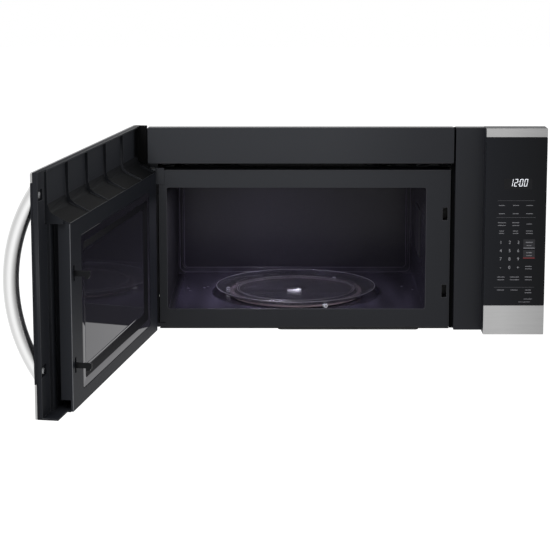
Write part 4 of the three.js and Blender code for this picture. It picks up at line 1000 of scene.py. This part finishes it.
hinge_end = on_door(0, 0, ROW.z)
across = (on_door(1000, 0, ROW.z) - hinge_end).normalized()
inward = (on_door(0, 1000, ROW.z) - hinge_end).normalized()


def from_hinge(place):
    """How far along the open door a place is from its hinge end, in millimetres."""
    return (place - hinge_end).dot(across) * 1000


def along_door(surface):
    """The same distance over a surface."""
    sockets = {0: surface.spot(), 1: across}
    along = surface.node("VectorMath", {"operation": "DOT_PRODUCT"}, sockets, out="Value")
    return (along - hinge_end.dot(across)) * 1000


nook_end = 34
free_end = (600, 625)
scoop_floor = (309, 342)


def frame_black(surface):
    """Moulded black with painted shade: darkest in the nook by the hinge and darker again at the free end."""
    grain = surface.noise(1900.0, 2.0)
    nook = surface.rise(along_door(surface), nook_end - 12, nook_end)
    free = surface.rise(along_door(surface), *free_end)
    open_side = surface.blend(free, (0.0160, 0.0174, 0.0212), (0.0088, 0.0098, 0.0128))
    return {
        "Base Color": surface.blend(nook, (0.0006, 0.0007, 0.0010), open_side),
        "Roughness": 0.44 + 0.12 * grain,
        "Specular IOR Level": 0.12,
        "Normal": surface.bumped(grain, 0.00003),
    }


def scoop_shade(surface):
    """The floor of the scoop, matt, with painted shade that makes it darker towards the bottom."""
    grain = surface.noise(1500.0, 2.0)
    depth = surface.rise(surface.measured("Z"), 310, 340)
    return {
        "Base Color": surface.blend(depth, (0.0012, 0.0013, 0.0016), (0.0100, 0.0106, 0.0122)),
        "Roughness": 0.6 + 0.1 * grain,
        "Specular IOR Level": 0.06,
    }


def past_nook(middle):
    return from_hinge(middle) > nook_end


# Painted highlight: the door frame's long edges past the nook take a lighter black, so the ribs and the rail
# show bright lines.
black_highlight = finish("moulded_black_highlight", edge_highlight((0.045, 0.047, 0.051), 0.25))
door_black = finish("frame_black", frame_black)
door_frame = eased("door_frame", 0.6, door_black, 2, black_highlight, 18, past_nook)
door_frame.data.materials.append(finish("scoop_shade", scoop_shade))
# The scoop floor's upward faces take the painted shade.
for polygon in door_frame.data.polygons:
    height = polygon.center.z * 1000 + ROW.z
    if polygon.normal.z > 0.2 and scoop_floor[0] < height < scoop_floor[1] and polygon.material_index == 0:
        polygon.material_index = 2


# ---- Door front ------------------------------------------------------------------------------------------
# Smoked glass over the whole door between two trims of brushed stainless steel, glued to the frame and
# folded round its ends.

eased("door_glass", 0.4, smoked)
steel_door = finish("steel_brushed_door", brushed((1, 0.05, 1)))
eased("door_trim_top", 0.8, steel_door, 3)
eased("door_trim_bottom", 0.8, steel_door, 3)


# ---- Choke frame -----------------------------------------------------------------------------------------
# A folded steel tray inside the door that keeps the microwaves in, coated with a satin black film and
# clipped into the frame. A painted highlight runs along its free corner as a pale line.

# Its inner face lies this far behind the oven's front plane while the door is shut.
choke_face = 9.0
choke_end = max(from_hinge(vertex.co) for vertex in frame["nodes"]["choke_frame"].data.vertices)


def satin_film(surface):
    """The choke frame's film, with painted light on the folded end wall, which is painted lighter."""
    grain = surface.noise(1300.0, 2.0)
    cloud = surface.noise(9.0, 1.0)
    face = surface.blend(cloud, (0.0072, 0.0082, 0.0112), (0.0100, 0.0112, 0.0144))
    # Painted light: the end wall gets a lighter colour.
    end_wall = along_door(surface).over(choke_end - 0.5)
    return {
        "Base Color": surface.blend(end_wall, face, (0.0215, 0.0230, 0.0275)),
        "Roughness": 0.5 + 0.12 * grain,
        "Specular IOR Level": 0.08,
        "Normal": surface.bumped(grain, 0.00002),
    }


def on_free_corner(middle):
    depth = (middle - hinge_end).dot(inward) * 1000
    return abs(depth - choke_face) < 0.1 and from_hinge(middle) > 550


# Painted highlight: a pale line along the choke frame's free corner.
film_highlight = finish("satin_film_highlight", edge_highlight((0.15, 0.155, 0.168), 0.2))
eased("choke_frame", 1.1, finish("satin_film", satin_film), 3, film_highlight, 100, on_free_corner)


# ---- Inner window ----------------------------------------------------------------------------------------
# A pressed pane, faintly violet, held behind the choke frame. Its margin stands up to the frame, a slope
# printed black leads down from it, and a fine bead runs round the flat view.


def window_glass(surface):
    dots = surface.cells(420.0)
    # Painted reflection: the pane is painted lighter towards the bottom.
    low = surface.rise(surface.measured("Z"), 260, 110)
    shade = (0.85 * low + 0.15 * dots).at_most(1.0)
    return {
        "Base Color": surface.blend(shade, (0.0125, 0.0119, 0.0160), (0.0300, 0.0285, 0.0380)),
        "Roughness": 0.035,
        "Specular IOR Level": 0.1,
        "Specular Tint": (0.90, 0.88, 1.0),
    }


def black_print(surface):
    grain = surface.noise(1500.0)
    return {
        "Base Color": surface.blend(grain, (0.0040, 0.0040, 0.0052), (0.0056, 0.0056, 0.0070)),
        "Roughness": 0.55,
        "Specular IOR Level": 0.05,
    }


pane_left, pane_right, pane_low, pane_high = 75.0, 530.0, 23.0, 280.0
pane_corner = 5.0
# Steps from the rim to the middle: how far in from the pane's edge, and how far behind the oven's front
# plane while the door is shut.
margin = [(-5.0, 4.7), (0.4, 4.7), (0.4, 7.9), (1.2, 8.6), (13.4, 8.6), (14.4, 8.45)]
view = [(29.0, 4.15), (30.0, 4.0), (31.6, 4.0), (32.0, 4.25), (32.8, 4.25), (33.2, 4.0), (34.2, 4.0)]


def pane_ring(work, inset, y, corner=pane_corner):
    spans = (pane_left + inset, pane_right - inset, pane_low + inset, pane_high - inset)
    return [work.verts.new(on_door(s, y, z)) for s, z in corner_path(*spans, corner, 8)]


pane = bmesh.new()
rings = [pane_ring(pane, -5.0, 2.7)]
rings += [pane_ring(pane, inset, y, pane_corner - min(inset, 0)) for inset, y in margin + view]
bands = skin(pane, rings)
for face in bands[len(margin)]:
    face.material_index = 1
pane_mesh = mesh_of(pane, "window_pane", 30)
tinted = finish("window_glass", window_glass)
stand_in("window_pane", pane_mesh, "inner_window", tinted, finish("black_print", black_print))


# ---- Latch -----------------------------------------------------------------------------------------------
# A black nylon bar with two hooks slides up and down behind the choke frame. A zinc-plated coil presses it
# down.


def latch_nylon(surface):
    grain = surface.noise(1300.0, 2.0)
    return {
        "Base Color": surface.blend(grain, (0.0030, 0.0033, 0.0042), (0.0046, 0.0050, 0.0062)),
        "Roughness": 0.35 + 0.1 * grain,
        "Specular IOR Level": 0.12,
    }


eased("latch_bar", 0.5, finish("latch_nylon", latch_nylon))

coil = frame["nodes"]["latch_spring"].data.copy()
coil.materials.clear()
coil.shade_smooth()
coil.set_sharp_from_angle(angle=math.radians(40))
spring = stand_in("latch_coil", coil, "latch_spring", zinc_steel)
foot = min(coil.vertices, key=lambda vertex: vertex.co.z).co
length = max(vertex.co.z for vertex in coil.vertices) - foot.z
travel = joint("latch_lift")["range_m"][1]
1 - travel / length
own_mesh(spring)


# ---- Handle ----------------------------------------------------------------------------------------------
# A stainless tube bent to one arc and polished along its length. Both ends are cut square to the glass, and
# two screws through the door frame hold them.

handle_place, handle_middle = 628.0, 218.3
handle_rise, handle_chord = 39.0, 137.65
tube_radius = 13.0
bend = (handle_chord ** 2 + handle_rise ** 2) / (2 * handle_rise)
bend_y = front_face - handle_rise + bend


def tube_mesh(steps=96, sides=48, spare=20):
    """The tube is drawn past the glass by a spare length at each end, on the shut door, and cut there."""
    sweep = math.asin((handle_chord + spare) / bend)
    work = bmesh.new()
    rings = []
    for i in range(steps + 1):
        a = -sweep + 2 * sweep * i / steps
        ring = []
        for t in turns(sides):
            out = bend + tube_radius * math.cos(t)
            s, z = handle_place + tube_radius * math.sin(t), handle_middle + out * math.sin(a)
            ring.append(work.verts.new((s, bend_y - out * math.cos(a), z)))
        rings.append(ring)
    skin(work, rings)
    parts = work.verts[:] + work.edges[:] + work.faces[:]
    cut = (0, front_face - 0.2, 0)
    bmesh.ops.bisect_plane(work, geom=parts, plane_co=cut, plane_no=(0, 1, 0), clear_outer=True)
    bmesh.ops.holes_fill(work, edges=[edge for edge in work.edges if edge.is_boundary], sides=0)
    bmesh.ops.recalc_face_normals(work, faces=work.faces)
    for vertex in work.verts:
        vertex.co = on_door(*vertex.co)
    return mesh_of(work, "handle_tube", 35)


def polished_tube(surface):
    """Polished steel with a painted reflection in its colour: a dark line near its inner side and a pale band
    along its middle.
    """
    scratch = surface.noise(900.0, 4.0, (1, 1, 0.06), 0.7)
    middle = on_door(handle_place, bend_y, handle_middle)
    sockets = {0: surface.spot(), 1: middle}
    away = surface.node("VectorMath", {"operation": "DISTANCE"}, sockets, out="Value")
    outward = (away * 1000.0 - bend) / (2 * tube_radius) + 0.5
    # Painted reflection: shades across the tube, from its inner side outwards.
    reflection_stops = (
        (0.0, 0.98), (0.045, 0.95), (0.075, 0.55), (0.098, 0.25), (0.145, 0.22), (0.196, 0.33),
        (0.249, 0.45), (0.305, 0.60), (0.365, 0.77), (0.426, 0.86), (0.49, 0.85), (0.557, 0.80),
        (0.629, 0.69), (0.704, 0.62), (0.787, 0.60), (0.885, 0.745), (0.96, 0.85),
    )
    stops = [(place, (shade, shade, shade)) for place, shade in reflection_stops]
    painted_reflection = surface.node("ValToRGB", {"stops": stops}, {"Fac": outward})
    return {
        "Base Color": surface.blend(0.12 * scratch, painted_reflection, (0.45, 0.45, 0.45)),
        "Metallic": 1.0,
        "Roughness": 0.26 + 0.10 * scratch,
        "Normal": surface.bumped(scratch, 0.00002),
    }


eased("handle_screw_upper", 0.4, zinc_steel)
eased("handle_screw_lower", 0.4, zinc_steel)
stand_in("handle_tube", tube_mesh(), "handle", finish("polished_tube", polished_tube))
